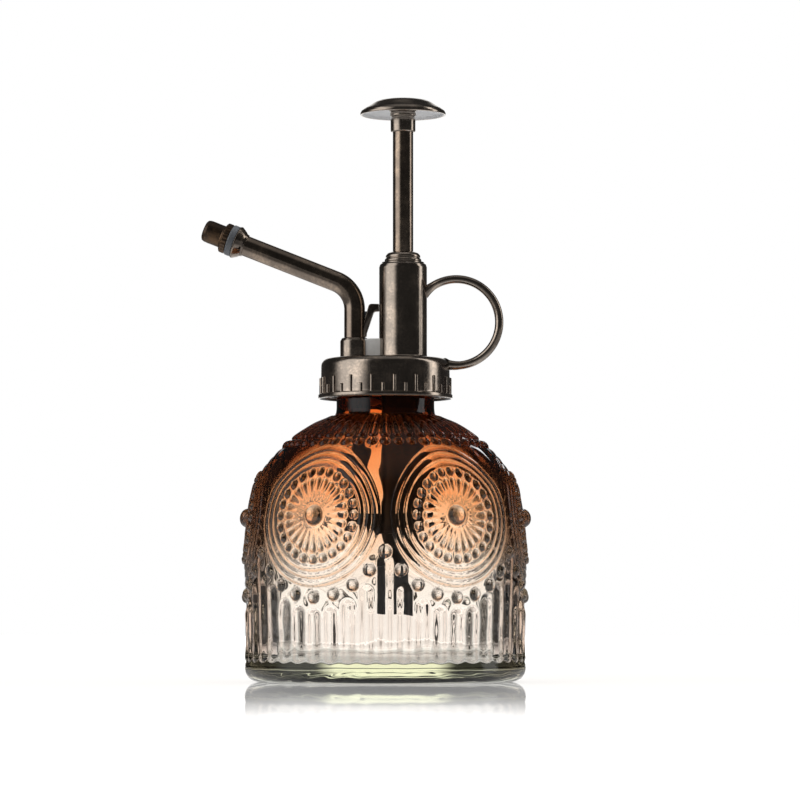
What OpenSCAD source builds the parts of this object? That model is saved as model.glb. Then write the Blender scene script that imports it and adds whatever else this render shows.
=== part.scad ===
// Hand mister: a glass bottle with a screw-on hand pump head.
// Millimetres. Origin at the centre of the flat base, +Z up.
// The spray arm points to -X, the finger ring to +X.

/* [Bottle] */
// Radius of the glass body at its widest plain wall
body_r = 38.8; // [36:0.1:42]
// Height of the straight wall, where the dome starts
wall_h = 40; // [36:1:46]
// Height of the dome above the straight wall
dome_h = 34; // [30:1:38]
// Fullness of the dome, 2 is an ellipse
dome_power = 2.1; // [1.9:0.05:2.5]
// Thickness of the glass wall
glass_t = 3.0; // [2:0.1:4]
// Thickness of the glass base
base_t = 5.0; // [3:0.5:6]
// Outer radius of the neck
neck_r = 13.4; // [13:0.1:13.6]
// Inner radius of the neck
neck_bore_r = 11.3; // [11.3:0.1:11.8]

/* [Glass relief] */
// Turn of the pressed pattern about the bottle's axis, degrees
relief_turn = 5; // [0:1:60]
// Number of round medallions
medallions = 6; // [5:1:6]
// Height of the medallion centres
medallion_z = 44.7; // [43:0.1:47]
// Radius of the arc of beads under a medallion
bead_arc_r = 21.7; // [20:0.1:22.5]
// Radius of one bead
bead_r = 1.7; // [1:0.1:2]
// Number of vertical flutes round the wall
flutes = 48; // [36:6:60]
// Depth of a flute
flute_depth = 0.5; // [0.2:0.05:0.8]
// Height of the raised rings on a medallion
ring_relief = 0.5; // [0.2:0.05:0.8]

/* [Collar] */
// Outer radius of the collar's rim band
collar_r = 18.4; // [18:0.1:19.5]
// Height of the collar, rim to deck
collar_h = 11.05; // [10.5:0.05:12.5]
// Number of grip ribs, long and short in turn
collar_ribs = 36; // [24:2:40]

/* [Pump] */
// Offset of the pump's axis from the bottle's axis, towards the ring
pump_x = 4.85; // [4.6:0.05:4.9]
// Outer radius of the metal barrel above the collar
barrel_r = 6.55; // [6.4:0.05:7]
// Height of the barrel above the collar's deck
barrel_h = 26.6; // [25:0.1:28]
// Outer radius of the pump cylinder
cyl_r = 6.0; // [5.8:0.05:6.05]
// Bore radius of the pump cylinder
bore_r = 4.7; // [4.5:0.05:4.9]
// Length of the cylinder below the collar's deck
cyl_drop = 41.3; // [38:0.1:43]
// Radius of the plunger rod
rod_r = 2.8; // [2.4:0.05:3]
// Running clearance between rod and bushes, on the radius
rod_gap = 0.05; // [0.02:0.01:0.1]
// Travel of the plunger from rest to fully pressed
stroke = 30; // [20:1:31]
// Length of rod that shows above the barrel's cap at rest
rod_show = 33.1; // [32:0.1:36]

/* [Thumb button] */
// Outer radius of the thumb button
button_r = 11.75; // [10:0.05:14]

/* [Spray arm] */
// Distance of the spray arm's upright from the bottle's axis
arm_x = 8.5; // [8.2:0.1:9]
// Outer radius of the spray arm's tube
arm_r = 2.85; // [2.5:0.05:3.1]
// Bore radius of the spray arm's tube
arm_bore_r = 1.9; // [1.2:0.1:2]
// Rise of the arm above the level, degrees
arm_rise = 21.8; // [10:0.1:35]
// Radius of the bend on the tube's centreline
arm_bend_r = 8.3; // [7:0.1:10]
// Height of the arm's corner above the collar's deck
arm_corner = 19.3; // [18:0.1:21]
// Length from the corner to the nozzle fitting
arm_len = 33.2; // [26:0.1:36]
// Number of ridges on the nozzle's grip
nozzle_ridges = 24; // [18:1:30]

/* [Finger ring] */
// Radius of the finger ring's centreline
ring_r = 11.85; // [11:0.05:12.5]
// Radius of the finger ring's rod
ring_rod_r = 1.15; // [0.9:0.05:1.4]
// Distance of the ring's centre from the bottle's axis
ring_x = 19.4; // [19:0.1:20]
// Height of the ring's centre above the collar's deck
ring_z = 9.9; // [9.4:0.1:10.4]

/* [Dip tube] */
// Outer radius of the dip tube
dip_r = 3.0; // [2.5:0.1:3.2]
// Height of the dip tube's open end above the floor
dip_end = 19; // [8:1:24]

/* [Hidden] */
$fn = 96;

// Heights that follow from the driving sizes
neck_foot = wall_h + dome_h * pow(1 - pow(neck_r / body_r, dome_power), 1 / dome_power);
lip_z = wall_h + dome_h + 11;
gasket_t = 1.2;
web_t = 0.8;
deck_t = 1.3;
deck_under = lip_z + gasket_t + web_t;
deck_z = deck_under + deck_t;
rim_z = deck_z - collar_h;
liner_r = collar_r - 1.8;
barrel_top = deck_z + barrel_h;
cap_top = barrel_top + 2.7;
cyl_foot = deck_z - cyl_drop;
cyl_top = barrel_top - 2.9;
bush_h = 3.4;
piston_top = cyl_top - bush_h - 0.6;
piston_h = 8;
piston_foot = piston_top - piston_h;
ferrule_z = cap_top + rod_show;
ferrule_h = 5.6;
button_z = ferrule_z + ferrule_h;
riser_x = arm_x - 1.1;
riser_r = 3.1;
riser_bore_r = 1.4;
inlet_x = pump_x - 1.65;
valve_h = 6;
ball_r = 1.75;
outlet_ball_r = 1.55;
cage_t = 1.0;
wire_r = 0.45;
spring_r = bore_r - 1.0;
spring_turns = 14;

// Outer radius of the plain glass at height z
function wall_at(z) = z < wall_h ? body_r - 0.5 * (wall_h - z) / 31
    : body_r * pow(1 - pow((z - wall_h) / dome_h, dome_power), 1 / dome_power);
// Plain outer outline between two heights, pushed out by d
function outline(z0, z1, n, d) =
    [for (i = [0:n]) let (z = z0 + (z1 - z0) * i / n) [wall_at(z) + d, z]];
// Angle of medallion k
function medal_a(k) = -90 + relief_turn + 180 / medallions + 360 / medallions * k;
// Angle from direction a to the nearest medallion centre
function off_a(a) = let (s = 360 / medallions, d = (a - medal_a(0)) % s,
    e = d < 0 ? d + s : d) e > s / 2 ? e - s : e;
// Height of the bead arc at angle a
function arc_z(a) = let (w = body_r * off_a(a) * PI / 180)
    medallion_z - sqrt(max(0, pow(bead_arc_r, 2) - w * w));

// A thing placed with its +Z along the spray arm's direction
module along_arm() {
    translate([-arm_x, 0, deck_z + arm_corner]) rotate([0, arm_rise - 90, 0]) children();
}

module medallion_rings() {
    for (k = [0:medallions - 1]) rotate([0, 0, medal_a(k)])
        translate([body_r - 13, 0, medallion_z]) rotate([0, 90, 0])
            for (r = [14, 16, 18]) difference() {
                cylinder(r = r + 0.45, h = 18);
                translate([0, 0, -1]) cylinder(r = r - 0.45, h = 20);
            }
}

module beads() {
    // Round boss at the centre of each medallion
    for (k = [0:medallions - 1]) rotate([0, 0, medal_a(k)])
        translate([wall_at(medallion_z) - 1.7, 0, medallion_z]) sphere(r = 3.1, $fn = 32);
    // Row of beads along each medallion's lower arc
    for (k = [0:medallions - 1]) for (t = [-48:16:48])
        rotate([0, 0, medal_a(k) + bead_arc_r * sin(t) / body_r * 180 / PI])
            translate([wall_at(medallion_z - bead_arc_r * cos(t)) - bead_r + 0.9, 0,
                medallion_z - bead_arc_r * cos(t)]) sphere(r = bead_r, $fn = 24);
    // One bead in each gap, shared by two medallions
    for (k = [0:medallions - 1]) rotate([0, 0, medal_a(k) + 180 / medallions])
        translate([wall_at(35) - bead_r + 0.9, 0, 35]) sphere(r = bead_r, $fn = 24);
    // Closed row of beads round the shoulder
    for (i = [0:47]) rotate([0, 0, medal_a(0) + 3.75 + 7.5 * i])
        translate([wall_at(lip_z - 20.2) - 0.9, 0, lip_z - 20.2 - 0.6]) sphere(r = 1.3, $fn = 24);
}

// Press-moulded glass bottle with its screw neck
module bottle() {
    color([0.80, 0.42, 0.20, 0.5]) difference() {
        union() {
            rotate_extrude() polygon(concat(
                [[0, 0], [33.4, 0], [body_r - 2.2, 0.5], [body_r - 0.9, 1.4],
                    [body_r - 0.4, 2.6], [body_r - 0.2, 4], [body_r - 0.2, 6]],
                [[wall_at(9), 9]], outline(wall_h, neck_foot, 11, 0),
                [[neck_r, lip_z - 0.5], [neck_r - 0.5, lip_z], [0, lip_z]]));
            intersection() {
                rotate_extrude() polygon(concat([[0, 24], [wall_at(24) + ring_relief, 24]],
                    outline(wall_h, wall_h + 24, 7, ring_relief), [[0, wall_h + 24]]));
                medallion_rings();
            }
            beads();
            // Two thread ridges on the neck
            for (z = [lip_z - 5.8, lip_z - 2.8]) translate([0, 0, z])
                rotate_extrude() polygon([[neck_r - 1, -1], [neck_r, -0.8],
                    [neck_r + 0.85, -0.25], [neck_r + 0.85, 0.25], [neck_r, 0.8], [neck_r - 1, 1]]);
        }
        // Flutes down the wall, ending below the beads
        for (i = [0:flutes - 1]) let (a = medal_a(0) + 360 / flutes * (i + 0.5))
            rotate([0, 0, a]) translate([wall_at(20) + 3.2 - flute_depth, 0, 5])
                cylinder(r = 3.2, h = arc_z(a) - bead_r - 0.6 - 5, $fn = 32);
        // Inside of the reservoir
        rotate_extrude() polygon(concat(
            [[0, base_t], [body_r - glass_t - 5, base_t], [body_r - glass_t - 1.6, base_t + 1.4],
                [body_r - glass_t - 0.6, base_t + 4.4]],
            [[wall_at(12) - glass_t, 12]],
            [for (i = [0:11]) let (z = wall_h - 3 + (neck_foot - wall_h) * i / 11)
                [max(neck_bore_r, wall_at(z + 2.2) - 0.85 * glass_t), z]],
            [[neck_bore_r, neck_foot], [neck_bore_r, lip_z + 1], [0, lip_z + 1]]));
    }
}

// Flat rubber ring on the neck's lip
module neck_gasket() {
    color([0.16, 0.16, 0.17]) translate([0, 0, lip_z]) difference() {
        cylinder(r = 14.1, h = gasket_t);
        translate([0, 0, -1]) cylinder(r = 11.4, h = gasket_t + 2);
    }
}

// Outer shape of the collar, without its ribs
module collar_shape() {
    r1 = collar_r - 0.65;
    r2 = collar_r - 0.8;
    rotate_extrude() polygon(concat(
        [[0, rim_z], [collar_r - 0.3, rim_z], [collar_r, rim_z + 0.3], [collar_r, rim_z + 1.2],
            [r1, rim_z + 1.4]],
        [for (a = [0:15:90]) [r2 - 2 + 2 * cos(a), deck_z - 2 + 2 * sin(a)]],
        [[0, deck_z]]));
}

// Plated screw collar with its deck and grip ribs
module collar() {
    color([0.24, 0.19, 0.16]) difference() {
        union() {
            collar_shape();
            for (i = [0:collar_ribs - 1]) rotate([0, 0, 360 / collar_ribs * i + 3])
                translate([liner_r + 0.4, -0.5, rim_z + 1])
                    cube([collar_r - liner_r - 0.75, 1.0, i % 2 == 0 ? 4.75 : 2.55]);
        }
        translate([0, 0, rim_z - 1]) cylinder(r = liner_r, h = deck_under - rim_z + 1);
        // Ways through the deck for the cylinder and the water
        translate([pump_x, 0, deck_under - 1]) cylinder(r = cyl_r, h = deck_t + 2);
        translate([-arm_x + 0.4, 0, deck_under - 1]) cylinder(r = 1.2, h = deck_t + 2);
    }
}

// Threaded plastic insert inside the collar; its web and boss carry the tubes
module thread_liner() {
    color([0.80, 0.79, 0.76]) difference() {
        union() {
            difference() {
                translate([0, 0, rim_z + 0.6]) cylinder(r = liner_r, h = deck_under - rim_z - 0.6);
                translate([0, 0, rim_z - 1]) cylinder(r = 15.3, h = lip_z + gasket_t - rim_z + 1);
            }
            for (z = [lip_z - 4.3, lip_z - 1.3]) translate([0, 0, z])
                rotate_extrude() polygon([[15.6, -1], [15.3, -0.8], [14.6, -0.2], [14.6, 0.2], [15.3, 0.8], [15.6, 1]]);
            translate([0, 0, lip_z - 4]) cylinder(r = 10.95, h = 4 + gasket_t + 0.1);
        }
        translate([pump_x, 0, lip_z - 6]) cylinder(r = cyl_r, h = 12);
        translate([-riser_x, 0, lip_z - 6]) cylinder(r = riser_r, h = 12);
    }
}

// Plated tube over the upper half of the pump
module pump_barrel() {
    color([0.27, 0.22, 0.18]) translate([pump_x, 0, 0]) rotate_extrude() polygon([
        [cyl_r, deck_z], [barrel_r + 0.35, deck_z], [barrel_r + 0.35, deck_z + 0.6],
        [barrel_r, deck_z + 1], [barrel_r, barrel_top - 1.3], [barrel_r - 0.25, barrel_top - 0.6],
        [barrel_r - 0.75, barrel_top - 0.15], [barrel_r - 1.3, barrel_top],
        [4.0, barrel_top], [4.0, cyl_top], [cyl_r, cyl_top]]);
}

// Domed gland cap that the rod comes through
module barrel_cap() {
    color([0.30, 0.24, 0.19]) translate([pump_x, 0, 0]) rotate_extrude() polygon([
        [rod_r + rod_gap, cyl_top], [4.0, cyl_top], [4.0, barrel_top], [5.06, barrel_top],
        [5.06, barrel_top + 0.9], [4.8, barrel_top + 1.1], [4.8, barrel_top + 1.4],
        [4.95, barrel_top + 1.6], [4.5, barrel_top + 2.3], [3.8, cap_top], [rod_r + rod_gap, cap_top]]);
}

// Plain bearing for the rod at the top of the cylinder
module rod_bush() {
    color([0.9, 0.88, 0.84]) translate([pump_x, 0, cyl_top - bush_h]) difference() {
        cylinder(r = bore_r, h = bush_h);
        translate([0, 0, -1]) cylinder(r = rod_r + rod_gap, h = bush_h + 2);
    }
}

// Long plastic cylinder that the piston runs in
module pump_cylinder() {
    color([0.13, 0.12, 0.12]) translate([pump_x, 0, cyl_foot]) difference() {
        cylinder(r = cyl_r, h = cyl_top - cyl_foot);
        translate([0, 0, -1]) cylinder(r = bore_r, h = cyl_top - cyl_foot + 2);
    }
}

// Foot of the pump: both valve seats, the cross channel and the tube socket
module valve_body() {
    z0 = cyl_foot - valve_h;
    color([0.15, 0.14, 0.14]) difference() {
        union() {
            translate([pump_x, 0, z0]) cylinder(r = cyl_r, h = valve_h);
            translate([-riser_x, 0, z0]) cylinder(r = riser_r + 0.3, h = valve_h + 0.8);
            translate([-riser_x, -2.6, z0]) cube([riser_x + pump_x, 5.2, valve_h - 1.4]);
            translate([inlet_x, 0, z0 - 8]) cylinder(r = dip_r + 0.6, h = 9);
        }
        // Socket for the dip tube and the inlet seat above it
        translate([inlet_x, 0, z0 - 9]) cylinder(r = dip_r, h = 8);
        translate([inlet_x, 0, z0 - 3]) cylinder(r = 1.2, h = 8);
        translate([inlet_x, 0, z0 + 1.6]) cylinder(r = ball_r + 0.35, h = valve_h);
        // Cross channel to the outlet seat
        translate([-riser_x, 0, z0 + 2.9]) rotate([0, 90, 0]) cylinder(r = 0.8, h = riser_x + inlet_x);
        translate([-riser_x, 0, z0 + 2.9]) cylinder(r = 1.0, h = 5);
        translate([-riser_x, 0, z0 + 4.6]) cylinder(r = riser_r, h = 5);
    }
}

// Holed disc that keeps the inlet ball in and seats the spring
module inlet_valve_cage() {
    color([0.72, 0.71, 0.68]) translate([pump_x, 0, cyl_foot]) difference() {
        cylinder(r = bore_r, h = cage_t);
        for (a = [0:60:300]) rotate([0, 0, a]) translate([1.5, 0, -1]) cylinder(r = 0.55, h = cage_t + 2);
    }
}

module inlet_ball() {
    color([0.75, 0.75, 0.77]) translate([inlet_x, 0,
        cyl_foot - valve_h + 1.6 + sqrt(ball_r * ball_r - 1.2 * 1.2) + 0.03]) sphere(r = ball_r, $fn = 48);
}

module outlet_ball() {
    color([0.75, 0.75, 0.77]) translate([-riser_x, 0,
        cyl_foot - valve_h + 4.6 + sqrt(outlet_ball_r * outlet_ball_r - 1) + 0.03])
            sphere(r = outlet_ball_r, $fn = 48);
}

// Small tube that brings the water back up to the arm
module riser_tube() {
    z0 = cyl_foot - valve_h + 4.6;
    color([0.13, 0.12, 0.12]) translate([-riser_x, 0, z0]) difference() {
        cylinder(r = riser_r, h = deck_under - z0);
        translate([0, 0, -1]) cylinder(r = riser_bore_r, h = deck_under - z0 + 2);
        translate([0, 0, -1]) cylinder(r = outlet_ball_r + 0.35, h = 1 + 5.2);
    }
}

module dip_tube() {
    color([0.22, 0.22, 0.23]) translate([inlet_x, 0, dip_end]) difference() {
        cylinder(r = dip_r, h = cyl_foot - valve_h - 1 - dip_end);
        translate([0, 0, -1]) cylinder(r = dip_r - 0.9, h = cyl_foot - valve_h + 1 - dip_end);
    }
}

// Coil spring swept as one closed polyhedron; the end turns lie close
module return_spring() {
    z0 = cyl_foot + cage_t + wire_r;
    z1 = piston_foot - wire_r;
    n = 20 * spring_turns;
    m = 8;
    function lead(t) = let (e = 1.5 / spring_turns, c = 1.1 * wire_r * 2 / (z1 - z0) * spring_turns)
        t < e ? c * t : t > 1 - e ? 1 - c * (1 - t)
        : c * e + (1 - 2 * c * e) * (t - e) / (1 - 2 * e);
    pts = [for (i = [0:n]) let (t = i / n, a = 360 * spring_turns * t, z = z0 + (z1 - z0) * lead(t))
        for (j = [0:m - 1]) let (b = 360 / m * j, r = spring_r + wire_r * cos(b))
            [r * cos(a), r * sin(a), z + wire_r * sin(b)]];
    faces = concat([[for (j = [0:m - 1]) j]],
        [for (i = [0:n - 1]) for (j = [0:m - 1])
            [i * m + j, (i + 1) * m + j, (i + 1) * m + (j + 1) % m, i * m + (j + 1) % m]],
        [[for (j = [0:m - 1]) n * m + m - 1 - j]]);
    color([0.7, 0.7, 0.72]) translate([pump_x, 0, 0]) polyhedron(points = pts, faces = faces, convexity = 10);
}

// Round boss on the deck that the arm's upright stands in
module spout_socket() {
    color([0.26, 0.21, 0.17]) translate([-arm_x, 0, deck_z]) difference() {
        rotate_extrude() polygon([[0, 0], [3.9, 0], [3.9, 5.2], [3.3, 5.8], [0, 5.8]]);
        translate([0, 0, 1]) cylinder(r = arm_r, h = 6);
        translate([0.4, 0, -1]) cylinder(r = 1.2, h = 3);
    }
}

// Small block on the deck between the socket and the barrel
module delivery_block() {
    color([0.30, 0.25, 0.20]) difference() {
        translate([-arm_x, -2.2, deck_z]) cube([arm_x + pump_x, 4.4, 5.5]);
        translate([-arm_x, 0, deck_z - 1]) cylinder(r = 3.9, h = 8);
        translate([pump_x, 0, deck_z - 1]) cylinder(r = barrel_r + 0.35, h = 8);
    }
}

// Bent tube of the spray arm: upright, bend and rising arm
module spout_tube() {
    turn = 90 - arm_rise;
    t = arm_bend_r * tan(turn / 2);
    zb = deck_z + arm_corner - t;
    module pipe(h) {
        difference() {
            cylinder(r = arm_r, h = h);
            translate([0, 0, -1]) cylinder(r = arm_bore_r, h = h + 2);
        }
    }
    color([0.27, 0.22, 0.18]) union() {
        translate([-arm_x, 0, deck_z + 1]) pipe(zb - deck_z - 1);
        translate([-arm_x - arm_bend_r, 0, zb]) {
            rotate([90, 0, 0]) rotate_extrude(angle = turn) translate([arm_bend_r, 0]) difference() {
                circle(r = arm_r);
                circle(r = arm_bore_r);
            }
            rotate([0, -turn, 0]) translate([arm_bend_r, 0, 0]) pipe(arm_len + 1.3 - t);
        }
    }
}

// Flat brace from the barrel down to the arm's upright
module spout_brace() {
    color([0.34, 0.29, 0.24]) difference() {
        union() {
            translate([0, 1.1, deck_z]) rotate([90, 0, 0]) linear_extrude(height = 2.2)
                polygon([[pump_x - 4, 12.9], [pump_x - 4, 15.1], [-4.2, 15.1], [-5.0, 14.1],
                    [-7.4, 8.1], [-7.4, 5.8], [-5.3, 6.4], [-3.4, 12.9]]);
            translate([0, 0.5, deck_z]) rotate([90, 0, 0]) linear_extrude(height = 1)
                polygon([[-4.6, 12.9], [-8, 12.9], [-8, 6.9], [-6, 6.9]]);
        }
        translate([pump_x, 0, deck_z]) cylinder(r = barrel_r, h = 30);
        translate([-arm_x, 0, deck_z]) cylinder(r = arm_r, h = 30);
        translate([-arm_x, 0, deck_z - 1]) cylinder(r = 3.9, h = 6.8);
    }
}

// Round loop for the fingers, from the collar's side to the barrel
module finger_ring() {
    color([0.25, 0.20, 0.17]) difference() {
        union() {
            translate([ring_x, 0, deck_z + ring_z]) rotate([90, 0, 0]) rotate([0, 0, -100])
                rotate_extrude(angle = 238) translate([ring_r, 0]) circle(r = ring_rod_r, $fn = 32);
            translate([0, 0.9, deck_z]) rotate([90, 0, 0]) linear_extrude(height = 1.8)
                polygon([[15.4, 0], [15.4, -1.5], [17.2, -3.9], [18.6, -3.3], [18.6, -2], [17.4, -0.4], [16.2, 0]]);
        }
        collar_shape();
        translate([pump_x, 0, deck_z]) cylinder(r = barrel_r, h = 30);
    }
}

// Flared fitting on the arm's end, with the spigot that carries the nozzle
module nozzle_fitting() {
    s = arm_len;
    color([0.16, 0.14, 0.13]) along_arm() rotate_extrude() polygon([
        [arm_r, s], [3.3, s], [4.5, s + 1.7], [4.5, s + 2.2], [2.4, s + 2.2], [2.4, s + 6.2],
        [0.9, s + 6.2], [0.9, s + 1.3], [arm_r, s + 1.3]]);
}

module nozzle_washer() {
    color([0.55, 0.58, 0.60]) along_arm() translate([0, 0, arm_len + 2.2])
        difference() {
            cylinder(r = 4.3, h = 1.9);
            translate([0, 0, -1]) cylinder(r = 2.4, h = 4);
        }
}

// Spray cap that turns to set the mist
module nozzle_cap() {
    s = arm_len + 4.15;
    color([0.28, 0.22, 0.18]) along_arm() difference() {
        union() {
            rotate_extrude() polygon([[0, s], [4.0, s], [4.0, s + 1.75], [3.6, s + 1.95], [3.15, s + 2.0],
                [3.1, s + 5.2], [2.95, s + 6.8], [2.4, s + 7.4], [0, s + 7.45]]);
            for (i = [0:nozzle_ridges - 1]) rotate([0, 0, 360 / nozzle_ridges * i])
                translate([3.6, -0.22, s + 0.05]) cube([0.6, 0.44, 1.65]);
        }
        translate([0, 0, s - 1]) cylinder(r = 2.45, h = 1 + 5.9);
        translate([0, 0, s]) cylinder(r = 0.35, h = 9);
    }
}

// Disc with slots that sets the water spinning behind the orifice
module swirl_insert() {
    s = arm_len + 4.15;
    color([0.85, 0.84, 0.8]) along_arm() translate([0, 0, s + 3.6]) difference() {
        cylinder(r = 2.45, h = 2.0);
        translate([0, 0, 1.5]) cylinder(r = 0.9, h = 1);
        for (a = [0:120:240]) rotate([0, 0, a]) translate([0.9, 0.5, -1]) cube([2, 0.5, 4]);
    }
}

// Rod with a thinner end that goes through the piston
module plunger_rod() {
    color([0.27, 0.22, 0.18]) translate([pump_x, 0, 0]) rotate_extrude() polygon([
        [0, piston_foot - 3.0], [1.3, piston_foot - 3.0], [1.6, piston_foot - 2.7], [1.6, piston_top],
        [rod_r, piston_top], [rod_r, button_z + 0.9], [0, button_z + 0.9]]);
}

module piston() {
    r = bore_r - 0.08;
    color([0.88, 0.87, 0.83]) translate([pump_x, 0, piston_foot]) difference() {
        rotate_extrude() polygon([[0, 0], [r - 0.4, 0], [r, 0.4], [r, 3], [r - 1.0, 3], [r - 1.0, 5],
            [r, 5], [r, piston_h - 0.4], [r - 0.4, piston_h], [0, piston_h]]);
        translate([0, 0, -1]) cylinder(r = 1.6, h = piston_h + 2);
    }
}

module piston_seal() {
    color([0.10, 0.10, 0.11]) translate([pump_x, 0, piston_foot + 4]) rotate_extrude()
        translate([bore_r - 0.57, 0]) circle(r = 0.5, $fn = 32);
}

module piston_nut() {
    color([0.75, 0.62, 0.35]) translate([pump_x, 0, piston_foot - 2.2]) difference() {
        cylinder(r = 3.0, h = 2.2, $fn = 6);
        translate([0, 0, -1]) cylinder(r = 1.6, h = 5);
    }
}

// Sleeve between the rod and the button
module button_ferrule() {
    color([0.30, 0.24, 0.19]) translate([pump_x, 0, ferrule_z]) difference() {
        rotate_extrude() polygon([[0, 0], [3.1, 0], [3.4, 0.3], [3.4, 3.9], [3.15, 4.1], [3.15, 4.4],
            [3.4, 4.6], [3.4, ferrule_h], [0, ferrule_h]]);
        translate([0, 0, -1]) cylinder(r = rod_r, h = ferrule_h + 2);
    }
}

// Domed thumb button, hollow below, with a boss on the rod
module thumb_button() {
    k = button_r / 11.75;
    color([0.28, 0.23, 0.19]) translate([pump_x, 0, button_z]) difference() {
        rotate_extrude() polygon([[0, 0], [3.7, 0], [3.9, 1.4], [6.4 * k, 2.1], [7.6 * k, 1.8],
            [9.7 * k, 0.5], [10.7 * k, 0], [11.05 * k, -0.9], [11.75 * k, -0.9], [11.75 * k, -0.4],
            [11.5 * k, 0.15], [10.8 * k, 0.75], [9.9 * k, 1.25], [8.9 * k, 1.85], [8.1 * k, 2.35],
            [7.1 * k, 2.95], [5.8 * k, 3.25], [4.3 * k, 3.5], [2.2 * k, 3.66], [0, 3.7]]);
        translate([0, 0, -1]) cylinder(r = rod_r, h = 1.9);
    }
}

bottle();
neck_gasket();
collar();
thread_liner();
pump_barrel();
barrel_cap();
rod_bush();
pump_cylinder();
valve_body();
inlet_valve_cage();
inlet_ball();
outlet_ball();
riser_tube();
dip_tube();
return_spring();
spout_socket();
delivery_block();
spout_tube();
spout_brace();
finger_ring();
nozzle_fitting();
nozzle_washer();
nozzle_cap();
swirl_insert();
plunger_rod();
piston();
piston_seal();
piston_nut();
button_ferrule();
thumb_button();
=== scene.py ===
import bpy
import bmesh
import math
import numpy as np
from mathutils import Vector, Matrix


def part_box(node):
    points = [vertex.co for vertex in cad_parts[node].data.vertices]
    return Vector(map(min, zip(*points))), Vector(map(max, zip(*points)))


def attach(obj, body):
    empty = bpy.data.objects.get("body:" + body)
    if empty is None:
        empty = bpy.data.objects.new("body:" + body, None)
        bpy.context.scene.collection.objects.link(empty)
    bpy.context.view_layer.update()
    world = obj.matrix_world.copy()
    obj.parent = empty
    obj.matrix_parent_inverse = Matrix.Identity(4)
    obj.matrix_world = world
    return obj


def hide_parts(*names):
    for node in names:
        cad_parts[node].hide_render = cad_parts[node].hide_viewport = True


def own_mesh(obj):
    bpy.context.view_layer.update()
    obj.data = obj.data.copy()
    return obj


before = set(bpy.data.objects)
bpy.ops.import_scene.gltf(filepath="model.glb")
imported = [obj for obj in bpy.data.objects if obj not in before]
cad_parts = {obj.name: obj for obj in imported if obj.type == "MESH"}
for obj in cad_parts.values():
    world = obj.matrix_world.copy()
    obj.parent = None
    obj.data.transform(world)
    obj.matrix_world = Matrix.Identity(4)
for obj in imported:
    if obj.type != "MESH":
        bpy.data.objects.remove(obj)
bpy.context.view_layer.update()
scene = bpy.context.scene
MM = 0.001
rng = np.random.default_rng(7)

# ---------------------------------------------------------------- positions
def mid(node):
    lo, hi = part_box(node)
    return [(lo[i] + hi[i]) * 500 for i in range(3)], [v * 1000 for v in lo], [v * 1000 for v in hi]

PUMP_X = mid("pump_barrel")[0][0]
ARM_X = mid("spout_socket")[0][0]
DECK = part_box("spout_socket")[0][2] * 1000
BARREL_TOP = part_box("pump_barrel")[1][2] * 1000
CAP_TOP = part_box("barrel_cap")[1][2] * 1000
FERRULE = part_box("button_ferrule")[0][2] * 1000
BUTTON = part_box("button_ferrule")[1][2] * 1000
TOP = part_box("thumb_button")[1][2] * 1000
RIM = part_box("collar")[0][2] * 1000
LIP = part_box("bottle")[1][2] * 1000
RING_X = 19.4
RING_Z = 98.2
RISE = math.radians(21.8)
U = Vector((-math.cos(RISE), 0, math.sin(RISE)))
CORNER = Vector((ARM_X, 0, 107.6))
ARM_LEN = 33.2


# ---------------------------------------------------------------- mesh tools
def new_obj(name, verts, faces, mats, face_mat=None, smooth=True, sharp=None):
    me = bpy.data.meshes.new(name)
    me.from_pydata([tuple(v) for v in verts], [], [tuple(f) for f in faces])
    for m in mats:
        me.materials.append(m)
    if face_mat is not None:
        me.polygons.foreach_set("material_index", np.asarray(face_mat, np.int32))
    if smooth:
        me.polygons.foreach_set("use_smooth", np.ones(len(me.polygons), bool))
    me.validate()
    me.update()
    if sharp:
        me.set_sharp_from_angle(angle=math.radians(sharp))
    ob = bpy.data.objects.new(name, me)
    scene.collection.objects.link(ob)
    return ob


def fillet(pts, radii, n=6):
    """Rounds the corners of an open or closed chain of (r, z) points."""
    out = []
    m = len(pts)
    for i, p in enumerate(pts):
        r = radii[i] if isinstance(radii, (list, tuple)) else radii
        if i in (0, m - 1) or r <= 0:
            out.append(p)
            continue
        a, b, c = np.array(pts[i - 1], float), np.array(p, float), np.array(pts[i + 1], float)
        u, v = a - b, c - b
        lu, lv = np.linalg.norm(u), np.linalg.norm(v)
        if lu < 1e-9 or lv < 1e-9:
            out.append(p)
            continue
        u, v = u / lu, v / lv
        cosang = float(np.clip(np.dot(u, v), -1, 1))
        ang = math.acos(cosang)
        if ang > math.radians(176):
            out.append(p)
            continue
        t = min(r / math.tan(ang / 2), lu * 0.48, lv * 0.48)
        p0, p1 = b + u * t, b + v * t
        rr = t * math.tan(ang / 2)
        bis = (u + v) / max(np.linalg.norm(u + v), 1e-9)
        cen = b + bis * (rr / math.sin(ang / 2))
        a0 = math.atan2(p0[1] - cen[1], p0[0] - cen[0])
        a1 = math.atan2(p1[1] - cen[1], p1[0] - cen[0])
        d = (a1 - a0 + math.pi) % (2 * math.pi) - math.pi
        for k in range(n + 1):
            aa = a0 + d * k / n
            out.append((cen[0] + rr * math.cos(aa), cen[1] + rr * math.sin(aa)))
    return out


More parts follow.
